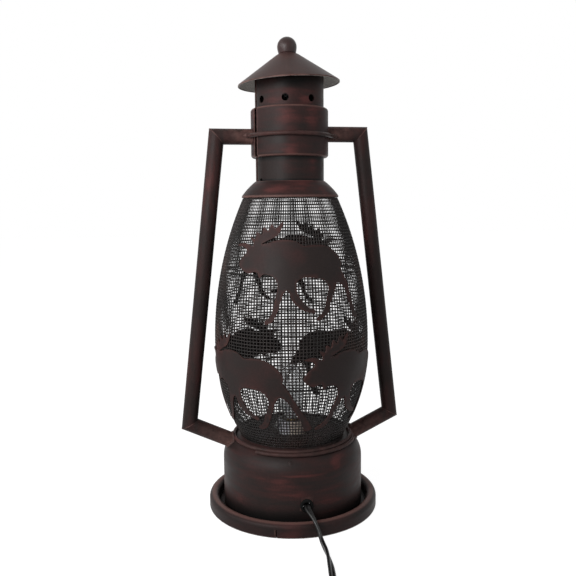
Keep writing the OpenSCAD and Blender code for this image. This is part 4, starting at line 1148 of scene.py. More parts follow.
# %% Cap
CAP_LEAN, BAR_Z = math.radians(-2.5), 362.1
CAP_R, CAP_TIP_R, CAP_RIM_Z, CAP_TOP_Z, STUD_R = 43.2, 8, 368.2, 392.7, 2.5
FOLD_AT, FOLD_W, FOLD_H = math.radians(-9), 2.2, 0.45
to_bar = Matrix.Translation((0, 0, BAR_Z * MM))
lean = to_bar @ Matrix.Rotation(CAP_LEAN, 4, "Y") @ to_bar.inverted()
slope = (CAP_TOP_Z - CAP_RIM_Z) / (CAP_R - CAP_TIP_R)
cap_line = [(STUD_R + 0.1, CAP_TOP_Z), (CAP_TIP_R - 0.9, CAP_TOP_Z), (CAP_TIP_R, CAP_TOP_Z - 0.25)]
cap_line += [(r, CAP_TOP_Z - (r - CAP_TIP_R) * slope) for r in (10, 18, 26, 34, 40)]
cap_line += [(CAP_R - 0.5, CAP_RIM_Z + 0.3), (CAP_R, CAP_RIM_Z - 0.1), (CAP_R, CAP_RIM_Z - 1)]
cap = turned("cap", thick(held(cap_line, 0.5)), 180)
for point in cap.data.vertices:
    r, azimuth = math.hypot(point.co.x, point.co.y) / MM, math.atan2(point.co.x, -point.co.y)
    off, fade = (azimuth - FOLD_AT) * r, max(0, min(1, (r - CAP_TIP_R) / 12, (CAP_R - r) / 3))
    point.co.z += FOLD_H * MM * math.exp(-(off / FOLD_W) ** 2) * fade
cap.data.transform(lean)
finish_piece(cap, cap_bronze, ["cap_cone"])
cap.data.materials.append(primer)
for face in cap.data.polygons:
    if face.normal.z < -0.2 and face.center.z < CAP_TOP_Z * MM:
        face.material_index = 1

# %% Ball
BALL_R, BALL_DROP, SEAT_Z, SEAT_R, SEAT_EDGE = 8.25, 1.5, CAP_TOP_Z + 0.1, 7.4, 0.4
ball_z, seat_high = high("finial_ball") - BALL_R - BALL_DROP, SEAT_Z + SEAT_EDGE
seat_line = [(STUD_R, SEAT_Z), (SEAT_R - 0.3, SEAT_Z), (SEAT_R, seat_high)]
for a in range(15, 90, 15):
    r = SEAT_R + (BALL_R - SEAT_R) * math.sin(math.radians(a))
    seat_line.append((r, seat_high + (ball_z - seat_high) * a / 90))
ball_line = seat_line + bend(0, ball_z, BALL_R, 0, 89.5, 24)
ball_line += [(0.02, ball_z + BALL_R), (0.02, ball_z + 1.5), (STUD_R, ball_z + 1.4)]
ball = turned("ball", ball_line, 64)
ball.data.transform(lean)
ball_bronze = rubbed_bronze("ball_bronze", rust=0.9, strokes=(1, 1, 1), offset=83, edge=0.0,
                            gloss=0.25, dull=(0.36, 0.44))
finish_piece(ball, ball_bronze, ["finial_ball"], body="finial")

# %% [markdown]
# ## The cage
# The cage is woven wire cloth, drawn into a barrel and painted black-brown. It could be
# a thin shell with holes painted on, but then it would have no depth: light wouldn't
# catch single wires and the far side wouldn't show through. So every wire is there.
# At its widest the upright wires stand three millimetres apart. The rings are a little
# closer, and both go over and under each other in turn. Four-sided wires are enough at
# this size. Towards the ends the cloth was drawn in, so its wires stand closer and are
# drawn a little thinner.


# %% The cage's outline
def arc_radius(rise, inset):
    """Radius of an arc that comes in by inset over a rise."""
    return (rise * rise + inset * inset) / (2 * inset)


upper_arc = arc_radius(CAGE_TOP_Z - CAGE_WIDE_Z, CAGE_R - CAGE_TOP_R)
lower_arc = arc_radius(CAGE_WIDE_Z - CAGE_LOW_Z, CAGE_R - CAGE_LOW_R)


def cage_outer(z):
    """Outer radius of the cage at a height."""
    arc = upper_arc if z > CAGE_WIDE_Z else lower_arc
    return CAGE_R - arc + math.sqrt(arc * arc - (z - CAGE_WIDE_Z) ** 2)


print("cage radius at its middle", round(cage_outer(170), 1), "mm")

# %% Crossings of the woven wires
CLOTH_T, UPRIGHTS, RING_STEP, MESH_WIRE_R, WAVE = 1.1, 144, 2.65, 0.5, 0.14
FIRST_RING_Z, LAST_RING_Z, EDGE_ROOM = CAGE_LOW_Z + 0.6, CAGE_TOP_Z - 0.4, 0.45
DRIFT, LIFT = 0.16, 0.35
heights = []
while FIRST_RING_Z + RING_STEP * len(heights) < LAST_RING_Z:
    heights.append(FIRST_RING_Z + RING_STEP * len(heights))


def crossing(i, k, over):
    """Where upright i meets ring k. over is 1 for the upright, -1 for the ring."""
    z, turn = heights[k], 2 * math.pi * i / UPRIGHTS
    drift = noise.noise(Vector((i * 0.31, z * 0.05, 4.2)))
    lift = noise.noise(Vector((math.cos(turn) * 3, math.sin(turn) * 3, z * 0.07)))
    z = max(CAGE_LOW_Z + EDGE_ROOM, min(CAGE_TOP_Z - EDGE_ROOM, z + LIFT * lift))
    wave = WAVE if (i + k) % 2 else -WAVE
    return round_at(360 * (i + DRIFT * drift) / UPRIGHTS, cage_outer(z) - CLOTH_T / 2 + over * wave, z)


print(UPRIGHTS, "uprights and", len(heights), "rings")


# %% A four-sided wire through crossings
def wire_rings(way, closed):
    """The points and the faces of one wire, counted from 0."""
    points, faces = [], []
    count = len(way)
    for i, at in enumerate(way):
        ahead = way[(i + 1) % count] if closed or i < count - 1 else at
        behind = way[i - 1] if closed or i > 0 else at
        head = (ahead - behind).normalized()
        out = Vector((at.x, at.y, 0)).normalized()
        drawn_r = MESH_WIRE_R * math.sqrt(math.hypot(at.x, at.y) / CAGE_R)
        side = head.cross(out).normalized() * drawn_r
        out = side.cross(head).normalized() * drawn_r
        points += [at + side, at + out, at - side, at - out]
    for i in range(count if closed else count - 1):
        j = (i + 1) % count
        faces += [(i * 4 + k, j * 4 + k, j * 4 + (k + 1) % 4, i * 4 + (k + 1) % 4) for k in range(4)]
    return points, faces


print("wire", 2 * MESH_WIRE_R, "mm thick at the cage's widest")

# %% The whole cloth
weave_points, weave_faces = [], []
lines = [([crossing(i, k, 1) for k in range(len(heights))], False) for i in range(UPRIGHTS)]
lines += [([crossing(i, k, -1) for i in range(UPRIGHTS)], True) for k in range(len(heights))]
for way, closed in lines:
    new_points, new_faces = wire_rings(way, closed)
    first = len(weave_points)
    weave_points += new_points
    weave_faces += [tuple(first + k for k in face) for face in new_faces]
print("cloth of", len(weave_faces), "faces")

# %% [markdown]
# ### The mesh's paint
# The cloth was sprayed and not rubbed, so it is nearly black. It could share the tubes'
# bronze, but then the cage would look rusty. In soft patches the paint is thin and a
# brown shows through.

# %% Mesh paint
mesh_paint, nodes, links, shader = new_finish("mesh_paint")
patches = grain(nodes, links, 30, detail=2, offset=2)
links.new(ramp(nodes, links, patches, (0.4, (0.013, 0.0115, 0.011)), (0.62, (0.023, 0.0175, 0.0165)),
               (0.75, (0.046, 0.028, 0.024))), shader.inputs["Base Color"])
shader.inputs["Specular IOR Level"].default_value = 0.18
fine = grain(nodes, links, 900, detail=2)
links.new(ramp(nodes, links, fine, (0.3, grey(0.35)), (0.7, grey(0.55))), shader.inputs["Roughness"])
weave = link("woven_cage", weave_points, weave_faces)
finish_piece(weave, mesh_paint, ["mesh_cage"], angle=100)

# %% Hoops inside the cloth
HOOP_WIRE_R, HOOP_GAP = 0.9, 0.2
for node, z in (("upper_hoop", DRUM_TOP + 145.5), ("lower_hoop", DRUM_TOP + 53.5)):
    r = cage_outer(z) - CLOTH_T - HOOP_WIRE_R - HOOP_GAP
    hoop = turned(node.replace("_hoop", "_hoop_wire"), bend(r, z, HOOP_WIRE_R, 0, 330, 11), 144)
    finish_piece(hoop, mesh_paint, [node])

# %% [markdown]
# ## The moose
# The six moose are sheet steel, cut out and bent round the cage. Blender could wrap a
# flat sheet with a modifier, but its edges would then stretch where the cage bulges.
# Each is drawn flat here, as it looks from straight in front, with a smooth line through
# listed points. The flat shape is sliced into a grid so that it can bend, then
# every point is moved onto the cage, and a second skin gives the sheet's thickness.

# %% Outlines, with hooves at height 0
moose_top = [
    (-38, 41), (-42, 39.5), (-46, 42), (-48, 45.5), (-47.5, 49), (-45, 53), (-42, 57),
    (-43.5, 60), (-48.5, 61.5), (-44.5, 63.5), (-40.5, 62.5), (-37.5, 61),
    (-37, 64), (-39, 68.5), (-35, 67), (-34, 72.5), (-30.5, 70), (-28.5, 76.5), (-25.5, 73),
    (-22.5, 79), (-20, 75), (-14, 80.5), (-15.5, 74.5), (-19, 69.5), (-25, 66.5), (-31, 63),
    (-27, 63.5), (-21, 65.5), (-13, 66.5), (-5, 65), (1, 61.5), (8, 62), (18, 61.5),
    (26, 57.5), (31.5, 51.5), (33, 46), (32, 43.5),
]
upper_hind = [
    (34.5, 38), (38, 30), (40.5, 21), (44, 9), (47, 3), (43.5, 2.5), (40.5, 9), (37.5, 19),
    (33.5, 29), (28, 31.5), (25.5, 25), (21.5, 16), (20, 9.5), (15.5, 5.5), (10.5, 2.5),
    (10, 5), (14.5, 9), (17, 14), (19, 22), (20.5, 27.5), (18, 33.5),
]
lower_hind = [
    (35.5, 37), (38.5, 28), (41.5, 18), (43.5, 8), (43.5, 1), (39.5, 0), (40, 7),
    (38, 16), (34, 27), (29.5, 31), (25.5, 27), (22.5, 20), (18.5, 11), (14, 3), (8.5, 0.5),
    (6, 2.5), (11, 6), (15, 14), (19, 22), (20, 28), (17, 33.5),
]
moose_fore = [
    (8, 36.5), (-1, 36.5), (-5.5, 33.5), (-5.5, 25), (-1, 17.5), (4, 13), (8.5, 11.2),
    (8, 8.7), (3, 9.8), (-3, 12.5), (-9.5, 18.5), (-13, 27), (-16, 25), (-19, 17.5),
    (-22, 9), (-25.5, 2.5), (-31, 0), (-31.5, 2), (-27, 6.5), (-24.5, 12), (-22.5, 21),
    (-20.5, 29.5), (-22.5, 36.5), (-27, 39), (-31, 39.5), (-34, 36.5), (-35.5, 40.5),
]
print("moose", max(z for x, z in moose_top), "mm high")


# %% A smooth line through the corners
EASE_STEPS = 3


def eased(corners):
    """A smooth closed line through the corners that keeps the tips where they are."""
    n, line = len(corners), []
    for i in range(n):
        p0, p1, p2, p3 = (Vector(corners[(i + k) % n]) for k in (-1, 0, 1, 2))
        t1 = (p1 - p0).length ** 0.5
        t2 = t1 + (p2 - p1).length ** 0.5
        t3 = t2 + (p3 - p2).length ** 0.5
        for s in range(EASE_STEPS):
            t = t1 + (t2 - t1) * s / EASE_STEPS
            a1, a2 = p0.lerp(p1, t / t1), p1.lerp(p2, (t - t1) / (t2 - t1))
            a3 = p2.lerp(p3, (t - t2) / (t3 - t2))
            b1, b2 = a1.lerp(a2, t / t2), a2.lerp(a3, (t - t1) / (t3 - t1))
            line.append(b1.lerp(b2, (t - t1) / (t2 - t1)))
    return line


print("outline of", len(eased(moose_top + upper_hind + moose_fore)), "points")

# %% A flat outline bent round the cage
CUTOUT_GAP, CUTOUT_T, SLICE = 0.2, 0.8, 4


def moose_sheet(azimuth, hoof_z, hind):
    """One moose: the outline sliced every few millimetres, bent, and given thickness."""
    flat = bmesh.new()
    flat.faces.new([flat.verts.new((p.x, 0, p.y)) for p in eased(moose_top + hind + moose_fore)])
    for across, start, stop in (((1, 0, 0), -48, 48), ((0, 0, 1), 4, 80)):
        for far in range(start, stop + 1, SLICE):
            geometry, cut_at = flat.verts[:] + flat.edges[:] + flat.faces[:], Vector(across) * (far + 0.1)
            bmesh.ops.bisect_plane(flat, geom=geometry, plane_co=cut_at, plane_no=across)
    spin = Matrix.Rotation(math.radians(azimuth), 3, "Z")
    skins = []
    for offset in (CUTOUT_GAP + CUTOUT_T, CUTOUT_GAP):
        skin = {}
        for v in flat.verts:
            z = hoof_z + v.co.z
            r = cage_outer(z) + offset
            skin[v] = spin @ Vector((v.co.x, -math.sqrt(max(1, r * r - v.co.x ** 2)), z))
        skins.append(skin)
    order = list(flat.verts)
    place = {v: i for i, v in enumerate(order)}
    n = len(order)
    points = [skins[0][v] for v in order] + [skins[1][v] for v in order]
    faces = []
    for face in flat.faces:
        loop = [place[v] for v in face.verts]
        faces += [tuple(loop), tuple(n + i for i in loop[::-1])]
    for edge in flat.edges:
        if len(edge.link_faces) == 1:
            a, b = (place[v] for v in edge.verts)
            faces.append((a, b, n + b, n + a))
    flat.free()
    return link("moose", points, faces)


print("cut-outs", CUTOUT_T, "mm thick,", CUTOUT_GAP, "mm off the cage")

# %% Two moose high on the cage and four low on it
UPPER_HOOF, LOWER_HOOF = low("upper_moose"), low("lower_moose")
upper = [moose_sheet(a, UPPER_HOOF, upper_hind) for a in (-1, 179)]
finish_piece(joined("upper_moose_sheets", upper), cutout_bronze, ["upper_moose"])
lower = [moose_sheet(a, LOWER_HOOF, lower_hind) for a in (-46, 44, 134, 224)]
finish_piece(joined("lower_moose_sheets", lower), cutout_bronze, ["lower_moose"])

# %% [markdown]
# ## The cord's bushing and the lead inside
# A black nylon bushing snaps into the drum's hole and keeps the sheet's edge off the
# cord. It could be cut from a cylinder, but its lip is rounded, so it is turned like the
# sheet pieces, about its own axis, and then laid over so that it faces forward. Behind
# it the same flat cord runs up to the socket.

# %% Black nylon
black_nylon, nodes, links, shader = new_finish("black_nylon")
cloudy = grain(nodes, links, 240, detail=3)
links.new(ramp(nodes, links, cloudy, (0.3, grey(0.003)), (0.7, grey(0.008))), shader.inputs["Base Color"])
links.new(ramp(nodes, links, cloudy, (0.3, grey(0.75)), (0.7, grey(0.85))), shader.inputs["Roughness"])
shader.inputs["Specular IOR Level"].default_value = 0.05
bump(nodes, links, shader, grain(nodes, links, 2200, detail=2), 0.00003, 0.5)

# %% Bushing
FLANGE_R, FLANGE_T, BORE_R, FLANGE_ROUND, BORE_ROUND = 5.5, 2.2, 3.3, 1.1, 0.5
bushing_line = [(BORE_R, -4), (BARREL_R - 0.4, -4), (BARREL_R - 0.05, -3.4), (BARREL_R - 0.05, 0.02),
                (FLANGE_R - 0.2, 0.02), (FLANGE_R, 0.25)]
bushing_line += bend(FLANGE_R - FLANGE_ROUND, FLANGE_T - FLANGE_ROUND, FLANGE_ROUND, 0, 90, 6)
bushing_line += bend(BORE_R + BORE_ROUND, FLANGE_T - BORE_ROUND, BORE_ROUND, 90, 180, 4)
bushing = turned("bushing", bushing_line, 48)
face_front = Matrix.Translation((0, -DRUM_R * MM, OUTLET_Z * MM)) @ Matrix.Rotation(math.pi / 2, 4, "X")
bushing.data.transform(face_front)
finish_piece(bushing, black_nylon, ["cord_bushing"])

# %% Lead inside the drum
inner_points = [
    [0, 0, 37.5, 0], [0, 0, 34.32, 0], [0, -3.2, 28.28, 0], [0, -11.52, 23.19, 0],
    [0, -25.6, 21.6, 0], [0, -41.6, 21.6, 0], [0, -54.4, 21.6, 0], [0, -64, 21.6, 0],
]
inner_cord = cord_form("inner_cord", smooth_way(inner_points, 4), (0, 0, -1), (0, -1, 0))
finish_piece(inner_cord, cord_vinyl, ["inner_lead"], angle=50)

# %% [markdown]
# ## Finishes for small hardware
# The socket, its clip, the screws and nuts keep the frame's solids, because their shape
# is already right. Each still gets a finish of its own: near-black metal or zinc plate with
# fine drawn lines and cloudy stains, dull black plastic, the fibre board of the socket's
# sleeve, thin brass, and tungsten in the bulb. The near black on the cap's bar, stud and
# nuts inside the neck is painted shade for the dark inside of the neck.


# %% Bare metal
def metal(name, dull, bright, lines, roughness=(0.28, 0.5), stretch=(1, 1, 12)):
    """Bare metal with drawn lines and stains."""
    finish, nodes, links, shader = new_finish(name)
    stain = grain(nodes, links, 120, detail=5)
    drawn = grain(nodes, links, lines, stretch=stretch, detail=2)
    both = sums(nodes, links, "MULTIPLY", sums(nodes, links, "ADD", stain, drawn), 0.5)
    links.new(ramp(nodes, links, both, (0.35, dull), (0.6, bright)), shader.inputs["Base Color"])
    links.new(ramp(nodes, links, both, (0.35, grey(roughness[1])), (0.65, grey(roughness[0]))),
              shader.inputs["Roughness"])
    shader.inputs["Metallic"].default_value = 1.0
    bump(nodes, links, shader, drawn, 0.00003, 0.6)
    return finish


# Painted shade: the cap's bar, stud and nuts inside the neck are near-black metal, so the inside of the neck
# reads dark through the vents.
dark_cap_metal = metal("dark_cap_metal", grey(0.02), grey(0.05), 500, roughness=(0.45, 0.6))
zinc = metal("zinc_plate", (0.14, 0.14, 0.135), (0.32, 0.32, 0.31), 500, roughness=(0.4, 0.55))
brass = metal("thin_brass", (0.22, 0.16, 0.08), (0.42, 0.32, 0.17), 600, stretch=(1, 1, 9))
blade_brass = metal("blade_brass", (0.6, 0.47, 0.25), (0.78, 0.66, 0.4), 700, stretch=(8, 1, 1))
tungsten = metal("filament_wire", (0.3, 0.31, 0.33), (0.55, 0.56, 0.58), 900)


# %% Moulded plastic
def plastic(name, dark, light, roughness):
    """Moulded plastic with a fine grain."""
    finish, nodes, links, shader = new_finish(name)
    cloudy = grain(nodes, links, 110, detail=4)
    links.new(ramp(nodes, links, cloudy, (0.3, dark), (0.7, light)), shader.inputs["Base Color"])
    links.new(ramp(nodes, links, cloudy, (0.3, grey(roughness[0])), (0.7, grey(roughness[1]))),
              shader.inputs["Roughness"])
    bump(nodes, links, shader, grain(nodes, links, 1800, detail=2), 0.00003, 0.5)
    return finish


socket_plastic = plastic("socket_plastic", grey(0.014), grey(0.03), (0.45, 0.6))

# %% [markdown]
# ### The socket's sleeve
# The sleeve is a tube of pale fibre board. Through the mesh its left third looks blue
# grey and the rest tan. A second lamp could tint it, but that would tint the bulb too,
# so the board itself changes colour from one side to the other: the blue grey on the
# left is painted cool light.

# %% Fibre board
BLUE_TO, ACROSS = -4.5, 25
board, nodes, links, shader = new_finish("sleeve_board")
fibres = grain(nodes, links, 900, stretch=(1, 1, 0.25), detail=5, rough=0.7)
place, apart = nodes.new("ShaderNodeTexCoord"), nodes.new("ShaderNodeSeparateXYZ")
links.new(place.outputs["Object"], apart.inputs["Vector"])
from_left = sums(nodes, links, "SUBTRACT", apart.outputs["X"], (BLUE_TO - ACROSS / 2) * MM)
share = sums(nodes, links, "MULTIPLY", from_left, 1 / (ACROSS * MM))
# Painted cool light: the left third of the board is blue grey, the rest is tan.
board_tone_and_cool_light = ramp(nodes, links, share, (0.47, (0.8, 0.8, 0.86)), (0.53, (0.98, 0.86, 0.75)))
speck = ramp(nodes, links, fibres, (0.3, grey(0.72)), (0.7, grey(1.0)))
links.new(blend_colours(nodes, links, 1.0, board_tone_and_cool_light, speck, "MULTIPLY"), shader.inputs["Base Color"])
shader.inputs["Roughness"].default_value = 0.8
bump(nodes, links, shader, fibres, 0.00008, 0.6)


# %% Finishes on the frame's own solids
def dress(node, finish):
    """Puts a finish on a solid of the frame."""
    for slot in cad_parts[node].material_slots:
        slot.material = finish


for node, finish in {
    "cap_bar": dark_cap_metal, "cap_stud": dark_cap_metal, "stud_nuts": dark_cap_metal,
    "socket_clip": zinc, "switch_screw": zinc,
    "socket_body": socket_plastic, "socket_sleeve": board, "socket_shell": brass,
    "socket_contact": brass, "bulb_filament": tungsten, "plug_blades": blade_brass,
}.items():
    dress(node, finish)
    print(node, "wears", finish.name)

# %% [markdown]
# ## The bulb
# A small clear bulb screws into the socket. A solid glass form would act as a lens, so
# the glass is a blown shell of its own thickness, and light bends in it as in the real
# one. A light film of dust dulls it here and there. Near the base the glass is milky,
# where it was pinched shut.
# The brass base has a rolled thread: the radius of each point rises and falls with
# height and angle together, which is all that a thread is.

# %% Clear glass
GLASS_R, BASE_TOP, GLASS_TOP = reach("bulb_glass"), low("bulb_glass"), high("bulb_glass")
MILK_SPAN = 20
clear_glass, nodes, links, shader = new_finish("clear_glass")
film = grain(nodes, links, 130, detail=5)
links.new(ramp(nodes, links, film, (0.3, (0.97, 0.975, 0.98)), (0.8, (0.89, 0.90, 0.91))),
          shader.inputs["Base Color"])
shader.inputs["IOR"].default_value = 1.48
place, apart = nodes.new("ShaderNodeTexCoord"), nodes.new("ShaderNodeSeparateXYZ")
links.new(place.outputs["Object"], apart.inputs["Vector"])
above_base = sums(nodes, links, "SUBTRACT", apart.outputs["Z"], BASE_TOP * MM)
above_base = sums(nodes, links, "MULTIPLY", above_base, 1 / (MILK_SPAN * MM))
milk = ramp(nodes, links, above_base, (0.45, grey(0.75)), (0.85, grey(0)))
film_dull = ramp(nodes, links, film, (0.4, grey(0.02)), (0.75, grey(0.16)))
links.new(sums(nodes, links, "MAXIMUM", milk, film_dull), shader.inputs["Roughness"])
shader.inputs["Transmission Weight"].default_value = 0.9

# %% Glass
GLASS_T = 0.6
glass_line = [(5.6, BASE_TOP), (5.6, BASE_TOP + 1.2), (6.0, BASE_TOP + 2.2), (8.4, BASE_TOP + 6.2),
              (9.6, BASE_TOP + 8.0), (GLASS_R, BASE_TOP + 10)]
glass_line += bend(0, GLASS_TOP - GLASS_R, GLASS_R, 0, 89.6, 20)
glass = turned("bulb_shell", thick(glass_line[::-1], GLASS_T), 64)
finish_piece(glass, clear_glass, ["bulb_glass"], body="bulb")

# %% The rolled thread
BASE_LOW, BASE_HIGH, BASE_R, TIP_H = low("bulb_base"), high("bulb_base"), 5.94, 3
THREAD, THREAD_D, ROWS, AROUND = 2.54, 0.42, 72, 48
points, faces = [], []
for i in range(ROWS + 1):
    z = BASE_LOW + TIP_H + (BASE_HIGH - BASE_LOW - TIP_H) * i / ROWS
    fade = max(0, min(1, (z - BASE_LOW - TIP_H) / 1.2, (BASE_HIGH - 1.4 - z) / 1.0))
    for k in range(AROUND):
        a = 2 * math.pi * k / AROUND
        r = BASE_R - THREAD_D * fade * (0.5 + 0.5 * math.cos(2 * math.pi * z / THREAD - a))
        points.append((r * math.cos(a), r * math.sin(a), z))
print("thread of", THREAD, "mm")

# %% The base's tip, and its faces
first = len(points)
tip_line = ((5.2, BASE_LOW + 2.6), (2.9, BASE_LOW + 0.9), (1.9, BASE_LOW + 0.6), (1.5, BASE_LOW + 0.02))
for r, z in tip_line:
    for k in range(AROUND):
        a = 2 * math.pi * k / AROUND
        points.append((r * math.cos(a), r * math.sin(a), z))
rows = list(range(0, first, AROUND))[::-1] + [first + AROUND * i for i in range(len(tip_line))]
for upper_row, lower_row in zip(rows, rows[1:]):
    for k in range(AROUND):
        m = (k + 1) % AROUND
        faces.append((upper_row + k, upper_row + m, lower_row + m, lower_row + k))
faces += [tuple(rows[0] + k for k in range(AROUND)), tuple(rows[-1] + k for k in range(AROUND))]
bulb_base = link("threaded_base", points, faces)
finish_piece(bulb_base, brass, ["bulb_base"], body="bulb", angle=60)

# %% [markdown]
# ## The switch on the cord
# The switch is two moulded halves round a ribbed wheel, which is rolled with a thumb.
# A block with a bevel would have the same rounding everywhere, and a moulding doesn't.
# Each half is a stack of the same rounded outline, drawn in a little at the top and
# bottom so that light runs along its edges. The wheel's well and the screw's hole are
# then cut out.


# %% An outline moved in
def shrunk(ring, far):
    """A closed flat outline moved in by a distance."""
    out, n = [], len(ring)
    for i, (x, y) in enumerate(ring):
        (x0, y0), (x1, y1) = ring[i - 1], ring[(i + 1) % n]
        a, b = Vector((x - x0, y - y0)).normalized(), Vector((x1 - x, y1 - y)).normalized()
        inward = Vector((-(a + b).y, (a + b).x)).normalized()
        out.append((x + inward.x * far, y + inward.y * far))
    return out


print("outlines are moved in by the mean of their two sides")


# %% Stacked outlines
def moulded(name, ring, levels):
    """A closed form from one outline. Each level is (height, how far it is drawn in)."""
    n, points, faces = len(ring), [], []
    for z, far in levels:
        points += [(x, y, z) for x, y in shrunk(ring, far)]
    for row in range(0, (len(levels) - 1) * n, n):
        faces += [(row + k, row + (k + 1) % n, row + n + (k + 1) % n, row + n + k) for k in range(n)]
    faces += [tuple(range(n))[::-1], tuple(range((len(levels) - 1) * n, len(levels) * n))]
    return link(name, points, faces)


def rounded_ring(half_w, half_l, corner, parts=10):
    """A rectangle with round corners, anticlockwise."""
    ring = []
    for sx, sy, start in ((1, 1, 0), (-1, 1, 90), (-1, -1, 180), (1, -1, 270)):
        ring += bend(sx * (half_w - corner), sy * (half_l - corner), corner, start, start + 90, parts)
    return ring


print("outline helpers ready")

# %% Switch halves
switch_plastic = plastic("switch_plastic", grey(0.01), grey(0.02), (0.25, 0.38))
SWITCH_H, SWITCH_HALF_W, SWITCH_HALF_L, SWITCH_CORNER = high("switch_cover"), 12, 29, 8
WHEEL_X, WHEEL_T, WHEEL_R, WELL_GAP, MOUTH_L = 5.9, 5.6, 9.5, 0.6, 19
SCREW_Y, SCREW_FLOOR, SCREW_HOLE_R, SINK_R, SINK_D = 14, 2, 1.6, 3, 1.6
split = SWITCH_H / 2
well_low, well_high, well_r = split - WHEEL_T / 2 - 0.4, split + WHEEL_T / 2 + 0.4, WHEEL_R + WELL_GAP
at_switch = Matrix.Translation(SWITCH_AT * MM) @ Matrix.Rotation(SWITCH_TURN, 4, "Z")
switch_ring = rounded_ring(SWITCH_HALF_W, SWITCH_HALF_L, SWITCH_CORNER)
lower_levels = [(0, 1.6), (0.3, 0.8), (0.9, 0.25), (1.8, 0), (split - 0.5, 0), (split - 0.05, 0.35)]
upper_levels = [(split + 0.05, 0.35), (split + 0.5, 0), (SWITCH_H - 3, 0), (SWITCH_H - 1.6, 0.45),
                (SWITCH_H - 0.7, 1.2), (SWITCH_H - 0.2, 2.2), (SWITCH_H, 3.4)]
switch_halves = (("switch_under", lower_levels, "switch_base"), ("switch_over", upper_levels, "switch_cover"))
for name, levels, stands in switch_halves:
    half = moulded(name, switch_ring, levels)
    cut_away(half, rod("well", (WHEEL_X, 0, well_low), (WHEEL_X, 0, well_high), well_r, 48))
    cut_away(half, block("mouth", (WHEEL_X, -well_r, well_low), (WHEEL_X + MOUTH_L, well_r, well_high)))
    cut_away(half, rod("hole", (0, SCREW_Y, SCREW_FLOOR), (0, SCREW_Y, SWITCH_H + 2), SCREW_HOLE_R))
    cut_away(half, rod("sink", (0, SCREW_Y, SWITCH_H - SINK_D), (0, SCREW_Y, SWITCH_H + 2), SINK_R))
    half.data.transform(at_switch)
    finish_piece(half, switch_plastic, [stands], angle=30)

# %% Ribbed wheel and its pin
RIBS, RIB_POINTS, RIB_H, PIN_R, PIN_GAP = 24, 6, 0.35, 1.45, 0.1
wheel_ring = []
for i in range(RIBS * RIB_POINTS):
    a = 2 * math.pi * i / (RIBS * RIB_POINTS)
    r = WHEEL_R - RIB_H + RIB_H * math.cos(RIBS * a)
    wheel_ring.append((math.cos(a) * r, math.sin(a) * r))
half_t = WHEEL_T / 2
wheel_levels = [(-half_t, 0.7), (0.3 - half_t, 0.25), (0.8 - half_t, 0), (half_t - 0.8, 0),
                (half_t - 0.3, 0.25), (half_t, 0.7)]
wheel = moulded("thumb_wheel", wheel_ring, wheel_levels)
cut_away(wheel, rod("bore", (0, 0, -4), (0, 0, 4), PIN_R + PIN_GAP))
wheel.data.transform(at_switch @ Matrix.Translation(Vector((WHEEL_X, 0, split)) * MM))
wheel_plastic = plastic("wheel_plastic", grey(0.016), grey(0.03), (0.35, 0.5))
finish_piece(wheel, wheel_plastic, ["switch_wheel"], body="wheel", angle=30)
pin = rod("wheel_pin", (WHEEL_X, 0, 3), (WHEEL_X, 0, SWITCH_H - 3), PIN_R, 24)
pin.data.transform(at_switch)
finish_piece(pin, switch_plastic)

# %% [markdown]
# ## The tie and the plug
# A soft strap holds the coil together. It is one band that goes round the coil's two
# layers. Cloth simulation would only press it onto the cord, so it is a flat section
# that goes round a rounded rectangle. The plug is moulded vinyl: waisted for the fingers,
# with a ribbed, tapered relief where the cord enters. It is a stack of one outline, as
# the switch is, and the relief is a bar whose radius drops at each groove.

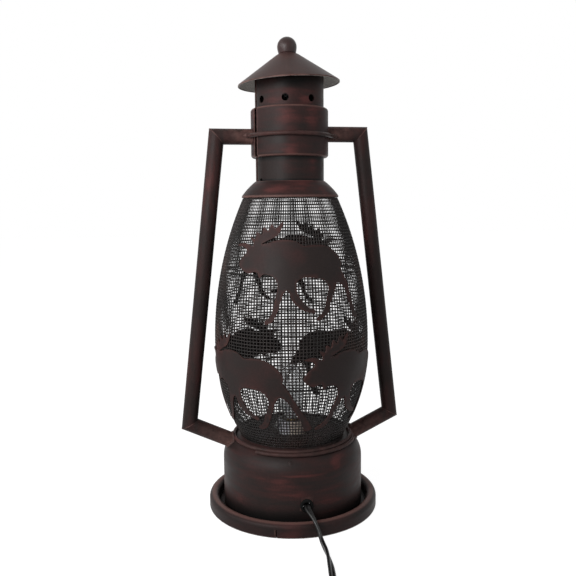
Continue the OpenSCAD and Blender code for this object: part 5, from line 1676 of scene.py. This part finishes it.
# %% Strap
strap_cloth, nodes, links, shader = new_finish("strap_cloth")
loops = grain(nodes, links, 1500, detail=4, rough=0.7)
links.new(ramp(nodes, links, loops, (0.3, grey(0.01)), (0.75, grey(0.045))), shader.inputs["Base Color"])
shader.inputs["Roughness"].default_value = 0.9
bump(nodes, links, shader, loops, 0.0003, 0.8)
STRAP_T, STRAP_CORNER = 0.8, 2.2
tie_low, tie_high = (Vector(corner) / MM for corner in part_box("coil_tie"))
middle, half = (tie_low + tie_high) / 2, (tie_high - tie_low) / 2
outer_ring = rounded_ring(half.x, half.z, STRAP_CORNER, 6)
inner_ring = rounded_ring(half.x - STRAP_T, half.z - STRAP_T, STRAP_CORNER - STRAP_T, 6)
points, faces, n = [], [], len(outer_ring)
for ring, y in ((outer_ring, -half.y), (outer_ring, half.y), (inner_ring, half.y), (inner_ring, -half.y)):
    points += [(middle.x + x, middle.y + y, middle.z + z) for x, z in ring]
for row in range(4):
    other = (row + 1) % 4
    faces += [(row * n + k, row * n + (k + 1) % n, other * n + (k + 1) % n, other * n + k) for k in range(n)]
finish_piece(link("coil_strap", points, faces), strap_cloth, ["coil_tie"], angle=50)

# %% Plug
PLUG_AT, PLUG_T = Vector((-62, -286, 0)), high("plug_body")
side_line = [(6.5, 0), (8.2, 5.2), (9.7, 10), (9.9, 12.4), (9.4, 14.6), (9.2, 16.6), (9.5, 19),
             (10.3, 21.4), (11, 23.2), (11, 25.4), (10.4, 26)]
plug_ring = side_line + [(-x, y) for x, y in side_line[::-1]]
plug_levels = [(0, 2.2), (0.4, 1.1), (1.2, 0.35), (2.4, 0), (PLUG_T - 2.4, 0), (PLUG_T - 1.2, 0.35),
               (PLUG_T - 0.4, 1.1), (PLUG_T, 2.2)]
plug = moulded("plug_moulding", plug_ring, plug_levels)
plug.data.transform(Matrix.Translation(PLUG_AT * MM))
plug_vinyl = plastic("plug_vinyl", grey(0.008), grey(0.018), (0.28, 0.42))
finish_piece(plug, plug_vinyl, ["plug_body"], angle=40)

# %% Strain relief on the plug
RELIEF_L, RELIEF_R, RELIEF_TAPER, RELIEF_Z, RELIEF_SAG = 19, 4.9, 1.5, 6.5, 1.5
GROOVE_D, RELIEF_STEPS = 0.45, 40
relief_way, relief_size = [], []
for i in range(RELIEF_STEPS + 1):
    t = i / RELIEF_STEPS
    relief_way.append((PLUG_AT.x, PLUG_AT.y + 1 - RELIEF_L * t, RELIEF_Z - RELIEF_SAG * t * t))
    groove = GROOVE_D if 0.25 < t < 0.95 and (i % 6) in (0, 1) else 0
    relief_size.append(RELIEF_R - RELIEF_TAPER * t - groove)
relief = swept("plug_relief", relief_way, relief_size, 24)
finish_piece(relief, plug_vinyl, angle=40)
